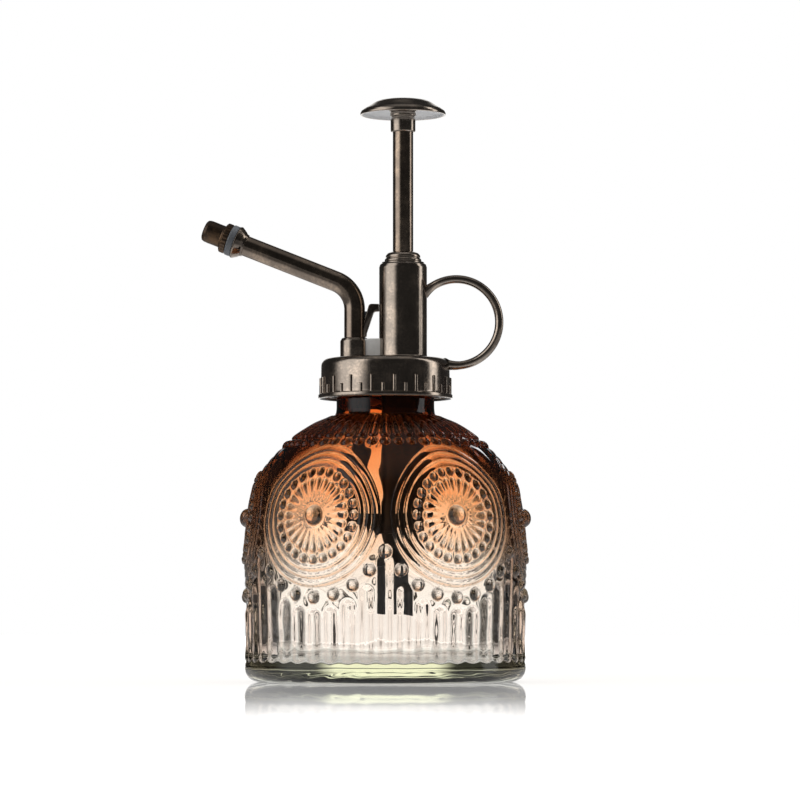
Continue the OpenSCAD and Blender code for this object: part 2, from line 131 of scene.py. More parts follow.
def lathe(name, prof, mats, segs=160, origin=(0, 0, 0), closed=False, axis=None, sharp=32, face_mat=None, shape=None):
    """Revolves (r, z) points in mm. An open chain starts and ends on the axis; a closed one is a ring.
    shape(r, z, a, i) may return a changed radius for the point i at angle a."""
    pts = list(prof)
    verts, faces, fm = [], [], []
    rows = []
    for i, (r, z) in enumerate(pts):
        if r < 1e-6:
            rows.append([len(verts)])
            verts.append((0, 0, z))
        else:
            row = []
            for k in range(segs):
                a = 2 * math.pi * k / segs
                rr = shape(r, z, a, i) if shape else r
                row.append(len(verts))
                verts.append((rr * math.cos(a), rr * math.sin(a), z))
            rows.append(row)
    n = len(rows)
    for i in range(n if closed else n - 1):
        ra, rb = rows[i], rows[(i + 1) % n]
        for k in range(segs):
            k2 = (k + 1) % segs
            if len(ra) == 1 and len(rb) == 1:
                continue
            if len(ra) == 1:
                f = (ra[0], rb[k2], rb[k])
            elif len(rb) == 1:
                f = (ra[k], ra[k2], rb[0])
            else:
                f = (ra[k], ra[k2], rb[k2], rb[k])
            faces.append(f)
            fm.append(face_mat(i) if face_mat else 0)
    v = np.array(verts, float)
    if axis is not None:
        q = Vector((0, 0, 1)).rotation_difference(Vector(axis)).to_matrix()
        v = v @ np.array(q).T
    v = (v + np.array(origin, float)) * MM
    ob = new_obj(name, v, faces, mats, fm, sharp=sharp)
    fix_normals(ob)
    return ob


def fix_normals(ob):
    bm = bmesh.new()
    bm.from_mesh(ob.data)
    bmesh.ops.recalc_face_normals(bm, faces=bm.faces)
    bm.to_mesh(ob.data)
    bm.free()


def sweep(name, path, radii, mats, segs=48, up=(0, 1, 0), inner=None, sharp=40):
    """A round rod or tube along points in mm. radii is one number or one for each point."""
    P = np.array(path, float)
    n = len(P)
    R = np.full(n, radii, float) if np.isscalar(radii) else np.array(radii, float)
    T = np.gradient(P, axis=0)
    T /= np.linalg.norm(T, axis=1)[:, None]
    upv = np.array(up, float)
    S = np.cross(T, upv)
    S /= np.linalg.norm(S, axis=1)[:, None]
    W = np.cross(S, T)
    verts, faces = [], []
    ang = np.linspace(0, 2 * math.pi, segs, endpoint=False)

    def rings(order, rad, flip):
        start = None
        prev = None
        for i in order:
            base = len(verts)
            for a in ang:
                verts.append(P[i] + rad[i] * (math.cos(a) * S[i] + math.sin(a) * W[i]))
            if prev is not None:
                for k in range(segs):
                    k2 = (k + 1) % segs
                    f = (prev + k, prev + k2, base + k2, base + k)
                    faces.append(f[::-1] if flip else f)
            if start is None:
                start = base
            prev = base
        return start, prev

    s0, e0 = rings(range(n), R, False)
    if inner is None:
        c0 = len(verts)
        verts.append(P[0])
        c1 = len(verts)
        verts.append(P[-1])
        for k in range(segs):
            k2 = (k + 1) % segs
            faces.append((c0, s0 + k2, s0 + k))
            faces.append((c1, e0 + k, e0 + k2))
    else:
        s1, e1 = rings(range(n), np.full(n, inner, float), True)
        for k in range(segs):
            k2 = (k + 1) % segs
            faces.append((s0 + k2, s0 + k, s1 + k, s1 + k2))
            faces.append((e0 + k, e0 + k2, e1 + k2, e1 + k))
    ob = new_obj(name, np.array(verts) * MM, faces, mats, sharp=sharp)
    fix_normals(ob)
    return ob


def place(ob, body, nodes):
    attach(ob, body)
    if nodes:
        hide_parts(*nodes)
    return ob


# ---------------------------------------------------------------- materials
def mat_new(name):
    m = bpy.data.materials.new(name)
    m.use_nodes = True
    nt = m.node_tree
    for n in list(nt.nodes):
        nt.nodes.remove(n)
    out = nt.nodes.new("ShaderNodeOutputMaterial")
    bsdf = nt.nodes.new("ShaderNodeBsdfPrincipled")
    nt.links.new(bsdf.outputs["BSDF"], out.inputs["Surface"])
    return m, nt, bsdf, out


def add(nt, kind, **props):
    n = nt.nodes.new(kind)
    for k, v in props.items():
        setattr(n, k, v)
    return n


def ramp(nt, stops, interp="LINEAR"):
    r = nt.nodes.new("ShaderNodeValToRGB")
    r.color_ramp.interpolation = interp
    el = r.color_ramp.elements
    while len(el) > 1:
        el.remove(el[-1])
    el[0].position = stops[0][0]
    el[0].color = (*stops[0][1], 1)
    for p, c in stops[1:]:
        e = el.new(p)
        e.color = (*c, 1)
    return r


def noise(nt, coord, scale, detail=4, rough=0.55, stretch=None):
    n = add(nt, "ShaderNodeTexNoise")
    n.inputs["Scale"].default_value = scale
    n.inputs["Detail"].default_value = detail
    n.inputs["Roughness"].default_value = rough
    if stretch:
        mp = add(nt, "ShaderNodeMapping")
        mp.inputs["Scale"].default_value = stretch
        nt.links.new(coord, mp.inputs["Vector"])
        nt.links.new(mp.outputs["Vector"], n.inputs["Vector"])
    else:
        nt.links.new(coord, n.inputs["Vector"])
    return n


def bronze(name, dark=(0.172, 0.149, 0.129), mid_c=(0.255, 0.22, 0.19), light=(0.415, 0.345, 0.285), rough=(0.10, 0.20),
           edge=0.35, patch=0.0, bump=0.03, stretch=None):
    """Antique bronze plating: dark oxide, a rubbed lighter metal below, brighter along worn edges."""
    m, nt, b, out = mat_new(name)
    tc = add(nt, "ShaderNodeTexCoord")
    co = tc.outputs["Object"]
    cloud = noise(nt, co, 170, 6, 0.62, stretch)
    fine = noise(nt, co, 1500, 3, 0.5, stretch)
    scr = noise(nt, co, 700, 4, 0.7, (1, 1, 0.05))
    mixv = add(nt, "ShaderNodeMath", operation="MULTIPLY_ADD")
    nt.links.new(fine.outputs["Fac"], mixv.inputs[0])
    mixv.inputs[1].default_value = 0.35
    nt.links.new(cloud.outputs["Fac"], mixv.inputs[2])
    sc2 = add(nt, "ShaderNodeMath", operation="MULTIPLY_ADD")
    nt.links.new(scr.outputs["Fac"], sc2.inputs[0])
    sc2.inputs[1].default_value = 0.25
    nt.links.new(mixv.outputs[0], sc2.inputs[2])
    cr = ramp(nt, [(0.50 - patch, dark), (0.80 - patch, mid_c), (1.0, light)])
    nt.links.new(sc2.outputs[0], cr.inputs["Fac"])
    # worn edges
    bev = add(nt, "ShaderNodeBevel", samples=4)
    bev.inputs["Radius"].default_value = 0.00035
    geo = add(nt, "ShaderNodeNewGeometry")
    dot = add(nt, "ShaderNodeVectorMath", operation="DOT_PRODUCT")
    nt.links.new(bev.outputs["Normal"], dot.inputs[0])
    nt.links.new(geo.outputs["Normal"], dot.inputs[1])
    mr = add(nt, "ShaderNodeMapRange")
    mr.inputs["From Min"].default_value = 0.995
    mr.inputs["From Max"].default_value = 0.90
    mr.inputs["To Min"].default_value = 0.0
    mr.inputs["To Max"].default_value = edge
    nt.links.new(dot.outputs["Value"], mr.inputs["Value"])
    mx = add(nt, "ShaderNodeMix", data_type="RGBA")
    nt.links.new(mr.outputs["Result"], mx.inputs["Factor"])
    nt.links.new(cr.outputs["Color"], mx.inputs[6])
    mx.inputs[7].default_value = (*[min(1, c * 1.5) for c in light], 1)
    nt.links.new(mx.outputs[2], b.inputs["Base Color"])
    rr = add(nt, "ShaderNodeMapRange")
    rr.inputs["From Min"].default_value = 0.45
    rr.inputs["From Max"].default_value = 0.95
    rr.inputs["To Min"].default_value = rough[0]
    rr.inputs["To Max"].default_value = rough[1]
    nt.links.new(sc2.outputs[0], rr.inputs["Value"])
    nt.links.new(rr.outputs["Result"], b.inputs["Roughness"])
    b.inputs["Metallic"].default_value = 1.0
    bp = add(nt, "ShaderNodeBump")
    bp.inputs["Strength"].default_value = bump
    bp.inputs["Distance"].default_value = 0.00004
    nt.links.new(sc2.outputs[0], bp.inputs["Height"])
    nt.links.new(bp.outputs["Normal"], b.inputs["Normal"])
    return m


def plastic(name, col, rough=0.4, var=0.12, scale=300, metallic=0.0, bump=0.1, clear=0.0, streak=None):
    m, nt, b, out = mat_new(name)
    tc = add(nt, "ShaderNodeTexCoord")
    n = noise(nt, tc.outputs["Object"], scale, 4, 0.6, streak)
    c0 = tuple(max(0, c * (1 - var)) for c in col)
    c1 = tuple(min(1, c * (1 + var)) for c in col)
    cr = ramp(nt, [(0.3, c0), (0.7, c1)])
    nt.links.new(n.outputs["Fac"], cr.inputs["Fac"])
    nt.links.new(cr.outputs["Color"], b.inputs["Base Color"])
    rr = add(nt, "ShaderNodeMapRange")
    rr.inputs["To Min"].default_value = rough * 0.8
    rr.inputs["To Max"].default_value = min(1, rough * 1.25)
    nt.links.new(n.outputs["Fac"], rr.inputs["Value"])
    nt.links.new(rr.outputs["Result"], b.inputs["Roughness"])
    b.inputs["Metallic"].default_value = metallic
    b.inputs["Coat Weight"].default_value = clear
    bp = add(nt, "ShaderNodeBump")
    bp.inputs["Strength"].default_value = bump
    bp.inputs["Distance"].default_value = 0.00003
    nt.links.new(n.outputs["Fac"], bp.inputs["Height"])
    nt.links.new(bp.outputs["Normal"], b.inputs["Normal"])
    return m


M_BRONZE = bronze("antique_bronze")
# darker copies of the same antique bronze, painted shade for the parts that stand darker in this light: the rod and
# spray arm, the brace, nozzle flare and lug, and the spray cap
M_BRONZE_ROD = bronze("antique_bronze_rod_shaded", dark=(0.13, 0.106, 0.088), mid_c=(0.205, 0.165, 0.135), light=(0.36, 0.28, 0.215))
M_BRONZE_DARK = bronze("antique_bronze_shaded", dark=(0.088, 0.075, 0.067), mid_c=(0.165, 0.138, 0.118), light=(0.33, 0.27, 0.22))
M_BRONZE_TIP = bronze("antique_bronze_tip_shaded", dark=(0.035, 0.028, 0.024), mid_c=(0.062, 0.046, 0.036), light=(0.13, 0.082, 0.05), rough=(0.28, 0.42), edge=0.8)
# near-white grey: painted reflection of the bright floor and backdrop on the underside of the bronze button
M_UNDER_REFLECTION = plastic("button_underside_painted_reflection", (0.86, 0.87, 0.89), rough=0.38, var=0.05, scale=250)
M_GREY = plastic("block_grey", (0.80, 0.80, 0.79), rough=0.42, var=0.10, scale=400)
M_WASHER = plastic("washer_grey", (0.115, 0.124, 0.138), rough=0.38, var=0.15, scale=500)
# near black: painted shade on the underside of the collar's rim
M_RIM_SHADE = plastic("collar_underside_painted_shade", (0.02, 0.018, 0.017), rough=0.6, var=0.3, scale=600)
M_DARK = plastic("pump_black", (0.012, 0.011, 0.011), rough=0.35, var=0.3)
M_DIP = plastic("dip_tube_grey", (0.035, 0.037, 0.04), rough=0.3, var=0.2, scale=150, streak=(1, 1, 0.1))
M_PALE = plastic("natural_plastic", (0.72, 0.70, 0.64), rough=0.45, var=0.05)
M_RUBBER = plastic("rubber_black", (0.02, 0.02, 0.02), rough=0.7, var=0.3, scale=900, bump=0.3)
M_STEEL = plastic("steel_bright", (0.60, 0.60, 0.62), rough=0.22, var=0.08, metallic=1.0, streak=(1, 1, 4))
M_BRASS = plastic("brass_plain", (0.62, 0.45, 0.20), rough=0.3, var=0.1, metallic=1.0)


def glass(name):
    """Soda glass. Where the mesh says "coat" the outside carries a see-through amber coat that fades towards the base;
    the coat colour also carries painted shade towards the outline and on the pattern's flanks.
    """
    m, nt, b, out = mat_new(name)
    tc = add(nt, "ShaderNodeTexCoord")
    b.inputs["Transmission Weight"].default_value = 1.0
    b.inputs["IOR"].default_value = 1.5
    sep = add(nt, "ShaderNodeSeparateXYZ")
    nt.links.new(tc.outputs["Object"], sep.inputs[0])
    n = noise(nt, tc.outputs["Object"], 60, 3, 0.5)
    ad = add(nt, "ShaderNodeMath", operation="MULTIPLY_ADD")
    nt.links.new(n.outputs["Fac"], ad.inputs[0])
    ad.inputs[1].default_value = 0.004
    nt.links.new(sep.outputs["Z"], ad.inputs[2])
    mr = add(nt, "ShaderNodeMapRange")
    mr.inputs["From Min"].default_value = 0.002
    mr.inputs["From Max"].default_value = 0.082
    nt.links.new(ad.outputs[0], mr.inputs["Value"])
    cr = ramp(nt, [(z / 80.0, c) for z, c in TINT])
    nt.links.new(mr.outputs["Result"], cr.inputs["Fac"])
    # towards the outline the coat colour is darkened, partly the deeper tint of a slant crossing of the coat, partly
    # painted shade for the dark surroundings seen there
    lw = add(nt, "ShaderNodeLayerWeight")
    lw.inputs["Blend"].default_value = 0.5
    sl = add(nt, "ShaderNodeMapRange", interpolation_type="SMOOTHSTEP")
    sl.inputs["From Min"].default_value = 0.27
    sl.inputs["From Max"].default_value = 0.57
    nt.links.new(lw.outputs["Facing"], sl.inputs["Value"])
    pa = add(nt, "ShaderNodeAttribute")
    pa.attribute_name = "plain"
    tr = add(nt, "ShaderNodeVectorTransform", vector_type="NORMAL", convert_from="OBJECT", convert_to="WORLD")
    nt.links.new(pa.outputs["Vector"], tr.inputs["Vector"])
    nt.links.new(tr.outputs["Vector"], lw.inputs["Normal"])
    # painted shade on the pattern's flanks, from the mesh's flank attribute
    fa = add(nt, "ShaderNodeAttribute")
    fa.attribute_name = "flank"
    fs = add(nt, "ShaderNodeMath", operation="MULTIPLY")
    nt.links.new(fa.outputs["Fac"], fs.inputs[0])
    fs.inputs[1].default_value = 0.42
    fx = add(nt, "ShaderNodeMath", operation="MAXIMUM")
    nt.links.new(fs.outputs[0], fx.inputs[0])
    nt.links.new(sl.outputs["Result"], fx.inputs[1])
    mx = add(nt, "ShaderNodeMix", data_type="RGBA", blend_type="MULTIPLY")
    nt.links.new(fx.outputs[0], mx.inputs["Factor"])
    nt.links.new(cr.outputs["Color"], mx.inputs[6])
    # painted shade: the dark colour the coat is drawn towards on the outline and the pattern's flanks, darker higher up
    shade_ramp = ramp(nt, [(0.0, (0.80, 0.61, 0.51)), (0.28, (0.58, 0.375, 0.285)), (0.42, (0.24, 0.138, 0.098)), (0.58, (0.09, 0.05, 0.036)), (0.8, (0.05, 0.02, 0.012)), (1.0, (0.05, 0.016, 0.008))])
    nt.links.new(mr.outputs["Result"], shade_ramp.inputs["Fac"])
    nt.links.new(shade_ramp.outputs["Color"], mx.inputs[7])
    at = add(nt, "ShaderNodeAttribute")
    at.attribute_name = "coat"
    pick = add(nt, "ShaderNodeMix", data_type="RGBA")
    pick.inputs[6].default_value = (0.985, 0.99, 0.97, 1)
    nt.links.new(at.outputs["Fac"], pick.inputs["Factor"])
    nt.links.new(mx.outputs[2], pick.inputs[7])
    nt.links.new(pick.outputs[2], b.inputs["Base Color"])
    b.inputs["Roughness"].default_value = 0.0
    va = add(nt, "ShaderNodeVolumeAbsorption")
    va.inputs["Color"].default_value = (0.84, 0.885, 0.56, 1)
    va.inputs["Density"].default_value = 16.0
    nt.links.new(va.outputs["Volume"], out.inputs["Volume"])
    return m


# Colour of a sight line through the coat on both sides of the bottle, by height in mm
TINT = [(0.0, (0.97, 0.96, 0.93)), (7.0, (0.97, 0.905, 0.88)), (18.0, (0.97, 0.885, 0.855)), (24.0, (0.97, 0.875, 0.825)), (30.0, (0.97, 0.82, 0.74)),
        (36.0, (0.97, 0.68, 0.51)), (42.0, (0.97, 0.54, 0.33)), (48.0, (0.96, 0.45, 0.22)), (54.0, (0.95, 0.37, 0.15)), (60.0, (0.92, 0.27, 0.08)),
        (66.0, (0.82, 0.17, 0.035)), (76.0, (0.80, 0.13, 0.018))]
M_GLASS = glass("glass_amber_fade")


# ---------------------------------------------------------------- bottle
def catmull(points, step):
    P = [np.array(p, float) for p in points]
    P = [2 * P[0] - P[1]] + P + [2 * P[-1] - P[-2]]
    out = []
    for i in range(1, len(P) - 2):
        p0, p1, p2, p3 = P[i - 1], P[i], P[i + 1], P[i + 2]
        n = max(2, int(np.linalg.norm(p2 - p1) / step))
        t0 = 0.0
        t1 = t0 + np.linalg.norm(p1 - p0) ** 0.5
        t2 = t1 + np.linalg.norm(p2 - p1) ** 0.5
        t3 = t2 + np.linalg.norm(p3 - p2) ** 0.5
        for t in np.linspace(t1, t2, n, endpoint=False):
            a1 = (t1 - t) / (t1 - t0) * p0 + (t - t0) / (t1 - t0) * p1
            a2 = (t2 - t) / (t2 - t1) * p1 + (t - t1) / (t2 - t1) * p2
            a3 = (t3 - t) / (t3 - t2) * p2 + (t - t2) / (t3 - t2) * p3
            b1 = (t2 - t) / (t2 - t0) * a1 + (t - t0) / (t2 - t0) * a2
            b2 = (t3 - t) / (t3 - t1) * a2 + (t - t1) / (t3 - t1) * a3
            out.append((t2 - t) / (t2 - t1) * b1 + (t - t1) / (t2 - t1) * b2)
    out.append(P[-2])
    return np.array(out)


def smooth_curve(P, width, keep_ends=0):
    k = np.hanning(width)
    k /= k.sum()
    h = width // 2
    Q = P.copy()
    for c in range(2):
        ext = np.concatenate([np.full(h, P[0, c]), P[:, c], np.full(h, P[-1, c])])
        Q[:, c] = np.convolve(ext, k, "same")[h:-h]
    w = np.ones(len(P))
    ramp_n = max(keep_ends, 1)
    w[:ramp_n] = np.linspace(0, 1, ramp_n)
    w[-ramp_n:] = np.linspace(1, 0, ramp_n)
    return P * (1 - w[:, None]) + Q * w[:, None]


def arclen(P):
    return np.concatenate([[0], np.cumsum(np.linalg.norm(np.diff(P, axis=0), axis=1))])


def resample(P, spacing_of):
    """Walks along P with a step that spacing_of(r, z) gives."""
    s = arclen(P)
    out = [0.0]
    while out[-1] < s[-1]:
        r, z = np.interp(out[-1], s, P[:, 0]), np.interp(out[-1], s, P[:, 1])
        out.append(out[-1] + spacing_of(r, z))
    out = np.array(out) * (s[-1] / out[-1])
    return np.stack([np.interp(out, s, P[:, 0]), np.interp(out, s, P[:, 1])], 1), out


MEDALS, MED_Z, BODY_R = 6, 44.7, 38.8
GAP = 2 * math.pi / MEDALS
MED_A0 = math.radians(-90 + 5 + 30)


def waves(a, z, n, amp, kmax, zlen, seed):
    g = np.random.default_rng(seed)
    h = np.zeros(np.broadcast(a, z).shape)
    for _ in range(n):
        ka = int(g.integers(-kmax, kmax + 1))
        kz = 2 * math.pi / g.uniform(*zlen)
        h += math.sqrt(2.0 / n) * amp * np.sin(ka * a + kz * z + g.uniform(0, 2 * math.pi))
    return h


def cap(d, R, H):
    return H * np.sqrt(np.clip(1 - (d / R) ** 2, 0, 1))


def relief(a, r, z, s, s_bead, s_rib0, s_rib1):
    """Height of the pressed pattern, in mm, over the plain glass at angle a and height z."""
    e = np.mod(a - MED_A0 + GAP / 2, GAP) - GAP / 2
    u, v = BODY_R * e, z - MED_Z
    rho = np.hypot(u, v)
    th = np.arctan2(v, u)
    h = np.zeros_like(rho)
    # boss at the centre, with a shallow moat round it
    h = np.maximum(h, cap(rho, 2.45, 1.8))
    moat = np.exp(-((rho - 2.85) / 0.35) ** 2) * 0.14
    # petals, thin at the centre and round at the outer end
    dt = np.mod(th + math.pi / 2 + math.pi / 24, math.pi / 12) - math.pi / 24
    lat, lon = rho * np.sin(dt), rho * np.cos(dt)
    f = np.clip((lon - 4.1) / 4.9, 0, 1)
    w = 0.22 + 0.66 * f
    d = np.where(lon > 9.0, np.hypot(lat, lon - 9.0), np.where(lon < 4.1, 9.0, np.abs(lat)))
    h = np.maximum(h, (0.03 + 0.42 * f ** 2.4) * np.sqrt(np.clip(1 - (d / w) ** 2, 0, 1)) * (lon > 4.1))
    # ring of small beads
    h = np.maximum(h, cap(np.hypot(rho * np.sin(dt), rho * np.cos(dt) - 11.75), 1.08, 0.85))
    # three round ribs
    for c in (14.05, 16.05, 18.05):
        h = np.maximum(h, cap(rho - c, 0.88, 0.27))
    # beads along the lower arc, and one in each gap
    for t in list(range(-48, 49, 16)):
        bu, bv = 21.7 * math.sin(math.radians(t)), -21.7 * math.cos(math.radians(t))
        h = np.maximum(h, cap(np.hypot(u - bu, v - bv), 1.62, 1.15))
    h = np.maximum(h, cap(np.hypot(np.abs(u) - BODY_R * GAP / 2, v + 9.7), 1.62, 1.15))
    # closed row of beads on the shoulder, and the long ribs above it
    p = np.mod(a - MED_A0 + math.pi / 48, math.pi / 24) - math.pi / 48
    lat = r * p
    h = np.maximum(h, cap(np.hypot(lat, s - s_bead), 1.35, 0.8))
    wr = np.clip(0.37 * 2 * math.pi * r / 48, 0.3, 2.0)
    lo, hi = s_rib0 + wr, s_rib1 - wr
    d = np.where(s < lo, np.hypot(lat, s - lo), np.where(s > hi, np.hypot(lat, s - hi), np.abs(lat)))
    h = np.maximum(h, 0.62 * np.clip(1 - (d / wr) ** 2, 0, 1) ** 0.55)
    # flutes down the wall: rounded tops that follow the bead arc, scalloped feet
    k = np.round((a - MED_A0) / (math.pi / 24))
    ca = k * math.pi / 24
    ce = np.mod(ca + GAP / 2, GAP) - GAP / 2
    cu = BODY_R * ce
    zt = MED_Z - np.sqrt(21.7 ** 2 - cu ** 2) - 2.5
    lat = BODY_R * (a - MED_A0 - ca)
    wf = BODY_R * math.pi / 48
    d = np.where(z > zt - 2.4, np.hypot(lat, (z - zt + 2.4) * wf / 2.4), np.where(z < 6.6, np.hypot(lat, (6.6 - z) * wf / 1.3), np.abs(lat)))
    h = np.maximum(h, 0.47 * (0.5 + 0.5 * np.cos(math.pi * np.clip(d / wf, 0, 1))))
    return h - moat


def make_bottle():
    base = [(0.0, 1.7), (12, 1.66), (21, 1.55), (26, 1.25), (28.6, 0.62), (30.2, 0.14), (31.6, 0.0), (33.2, 0.0), (34.9, 0.10),
            (36.3, 0.5), (37.4, 1.3), (38.0, 2.3), (38.3, 3.4), (38.32, 4.4), (38.1, 5.4)]
    wall = [(37.85, 6.6), (37.72, 9), (37.7, 12.6), (37.85, 17), (37.95, 21), (38.15, 27), (38.4, 33), (38.48, 38), (38.3, 42), (37.55, 47.6),
            (36.5, 52), (35.55, 54.2), (34.2, 56.5), (32.7, 58.7), (30.9, 60.9), (28.8, 63.1), (26.4, 65.25), (23.7, 67.35),
            (20.6, 69.35), (18.7, 70.35), (16.6, 71.2), (14.9, 71.95), (13.75, 72.8), (13.42, 74.2)]
    neck = [(13.4, 77.0), (13.4, 81.0), (13.4, LIP - 1.2), (13.32, LIP - 0.6), (12.9, LIP - 0.12), (12.35, LIP)]
    A = catmull(base + wall + neck, 0.1)
    A = smooth_curve(A, 21, 40)
    # the foot stays flat on the floor
    A[:, 1] = np.maximum(A[:, 1], 0.0)
    flat = (A[:, 0] > 31.4) & (A[:, 0] < 33.4) & (A[:, 1] < 0.5)
    A[flat, 1] = 0.0

    def step(r, z):
        if z < 3 and r < 26:
            return 1.6
        if z < 3 and r < 36:
            return 0.6
        if z < 4.4:
            return 0.4
        if z < 73.5:
            return 0.33
        return 0.42
    prof, s = resample(A, step)
    # heights along the shoulder, as lengths along the outline
    wall_rows = prof[:, 0] > 13.3
    zz = prof[:, 1]
    top_half = np.where((zz > 30) & (zz < 76))[0]

    def s_at(z):
        return float(np.interp(z, zz[top_half], s[top_half]))

    s_bead, s0, s1 = s_at(64.6), s_at(65.9), s_at(72.3)
    cols = 960
    a = np.arange(cols) * 2 * math.pi / cols
    R = prof[:, 0][:, None]
    Z = prof[:, 1][:, None]
    T = np.gradient(prof, axis=0)
    T /= np.maximum(np.linalg.norm(T, axis=1), 1e-9)[:, None]
    nr, nz = T[:, 1][:, None], -T[:, 0][:, None]
    AA = np.broadcast_to(a[None, :], (len(prof), cols))
    RR = np.broadcast_to(R, AA.shape)
    ZZ = np.broadcast_to(Z, AA.shape)
    SS = np.broadcast_to(s[:, None], AA.shape)
    on_wall = (ZZ > 4.6) & (ZZ < 74.5)
    h = np.where(on_wall, relief(AA, RR, ZZ, SS, s_bead, s0, s1), 0.0)
    # how steep the pattern is: painted shade darkens the coat on the flanks of beads, ribs and flutes
    steep = np.hypot(np.gradient(h, axis=0) / np.maximum(np.gradient(s), 1e-6)[:, None], np.gradient(h, axis=1) / (RR * 2 * math.pi / cols))
    low = np.clip((35.0 - ZZ) / 5.0, 0, 1)        # the flutes are shallow, so they count sooner
    steep = np.clip((steep - 0.25 + 0.21 * low) / (0.9 - 0.58 * low), 0, 1)
    steep = steep * steep * (3 - 2 * steep)
    wav = waves(AA, ZZ, 26, 0.030, 34, (5.0, 16.0), 3)
    fade = np.clip((ZZ - 3.0) / 4.0, 0, 1) * np.clip((76.0 - ZZ) / 3.0, 0, 1)
    h = h + wav * fade
    # the neck's helical thread, one turn and a half
    zh = LIP - 6.6 + 3.0 * (AA / (2 * math.pi))
    for turn in (0, 1):
        zc = zh + 3.0 * turn
        ends = np.clip((zc - (LIP - 6.6)) / 0.6, 0, 1) * np.clip((LIP - 1.9 - zc) / 0.6, 0, 1)
        h = h + np.where(ZZ > 76, 0.85 * ends * np.clip(1 - ((ZZ - zc) / 0.95) ** 2, 0, 1), 0)
    x = (RR + h * nr) * np.cos(AA)
    y = (RR + h * nr) * np.sin(AA)
    zc = ZZ + h * nz
    outer = np.stack([x, y, zc], -1)
    outer = outer[1:]          # the first row is the pole
    steep = steep[1:]
    plain = np.stack([nr * np.cos(AA), nr * np.sin(AA), np.broadcast_to(nz, AA.shape)], -1)[1:]
    # inside of the bottle, smooth with the slight waves of blown glass
    inner_pts = [(12.1, LIP), (11.6, LIP - 0.25), (11.35, LIP - 0.9), (11.3, LIP - 3), (11.3, 78), (11.35, 75.5), (11.8, 73.2), (13.2, 70.9),
                 (15.8, 68.6), (19.6, 65.8), (23.3, 62.7), (26.6, 59.0), (29.4, 55.0), (31.4, 51.0), (32.8, 46.8), (33.5, 42), (33.75, 37),
                 (33.8, 31), (33.9, 24), (34.1, 17), (34.3, 12.0), (34.3, 9.6), (34.1, 7.6), (33.5, 6.1), (32.2, 5.2), (30.0, 4.8), (26, 4.65), (18, 4.5), (9, 4.4), (0, 4.4)]
    B = catmull(inner_pts, 0.15)
    B = smooth_curve(B, 15, 12)
    iprof, _ = resample(B, lambda r, z: 1.2 if z > 8 else (0.7 if r > 26 else 1.6))
    icol = 240
    ia = np.arange(icol) * 2 * math.pi / icol
    IA = np.broadcast_to(ia[None, :], (len(iprof), icol))
    IR = np.broadcast_to(iprof[:, 0][:, None], IA.shape)
    IZ = np.broadcast_to(iprof[:, 1][:, None], IA.shape)
    iw = waves(IA, IZ, 24, 0.035, 26, (7.0, 26.0), 11) * np.clip((76 - IZ) / 6, 0, 1) * np.clip((IR - 8) / 10, 0, 1)
    IT = np.gradient(iprof, axis=0)
    IT /= np.maximum(np.linalg.norm(IT, axis=1), 1e-9)[:, None]
    inr, inz = IT[:, 1][:, None], -IT[:, 0][:, None]
    ix = (IR + iw * inr) * np.cos(IA)
    iy = (IR + iw * inr) * np.sin(IA)
    inner = np.stack([ix, iy, IZ + iw * inz], -1)[:-1]
    no, ni = len(outer), len(inner)
    verts = np.concatenate([[[0, 0, prof[0, 1]]], outer.reshape(-1, 3), inner.reshape(-1, 3), [[0, 0, iprof[-1, 1]]]]) * MM
    o0, i0 = 1, 1 + no * cols
    last = len(verts) - 1
    k = np.arange(cols)
    k2 = (k + 1) % cols
    faces = [(0, o0 + int(q2), o0 + int(q1)) for q1, q2 in zip(k, k2)]
    rows = np.arange(no - 1)[:, None]
    q = np.stack([o0 + rows * cols + k, o0 + rows * cols + k2, o0 + (rows + 1) * cols + k2, o0 + (rows + 1) * cols + k], -1).reshape(-1, 4)
    faces += q.tolist()
    per = cols // icol
    ot = o0 + (no - 1) * cols
    for j in range(icol):
        chain = [ot + (per * j + m) % cols for m in range(per + 1)]
        faces.append(tuple(chain + [i0 + (j + 1) % icol, i0 + j]))
    ki = np.arange(icol)
    ki2 = (ki + 1) % icol
    rows = np.arange(ni - 1)[:, None]
    q = np.stack([i0 + rows * icol + ki, i0 + rows * icol + ki2, i0 + (rows + 1) * icol + ki2, i0 + (rows + 1) * icol + ki], -1).reshape(-1, 4)
    faces += q.tolist()
    faces += [(i0 + (ni - 1) * icol + int(b1), i0 + (ni - 1) * icol + int(b2), last) for b1, b2 in zip(ki, ki2)]
    ob = new_obj("bottle_glass", verts, faces, [M_GLASS])
    coat = np.zeros(len(verts))
    foot = np.clip((outer[:, 0, 2] - 0.6) / 1.2, 0, 1) * np.clip((np.hypot(outer[:, 0, 0], outer[:, 0, 1]) - 9.0) / 2.0, 0, 1)
    foot[(outer[:, 0, 2] < 3) & (np.hypot(outer[:, 0, 0], outer[:, 0, 1]) < 34)] = 0.0
    coat[o0:o0 + no * cols] = np.repeat(foot, cols)
    ob.data.attributes.new("coat", "FLOAT", "POINT").data.foreach_set("value", coat.astype(np.float32))
    # the flank attribute carries the painted shade on the pattern's flanks
    flank_shade = np.zeros(len(verts))
    flank_shade[o0:o0 + no * cols] = steep.reshape(-1)
    ob.data.attributes.new("flank", "FLOAT", "POINT").data.foreach_set("value", flank_shade.astype(np.float32))
    pl = np.zeros((len(verts), 3))
    pl[:, 2] = 1.0
    pl[o0:o0 + no * cols] = plain.reshape(-1, 3)
    ob.data.attributes.new("plain", "FLOAT_VECTOR", "POINT").data.foreach_set("vector", pl.reshape(-1).astype(np.float32))
    return ob


bottle = place(make_bottle(), "bottle", ["bottle"])


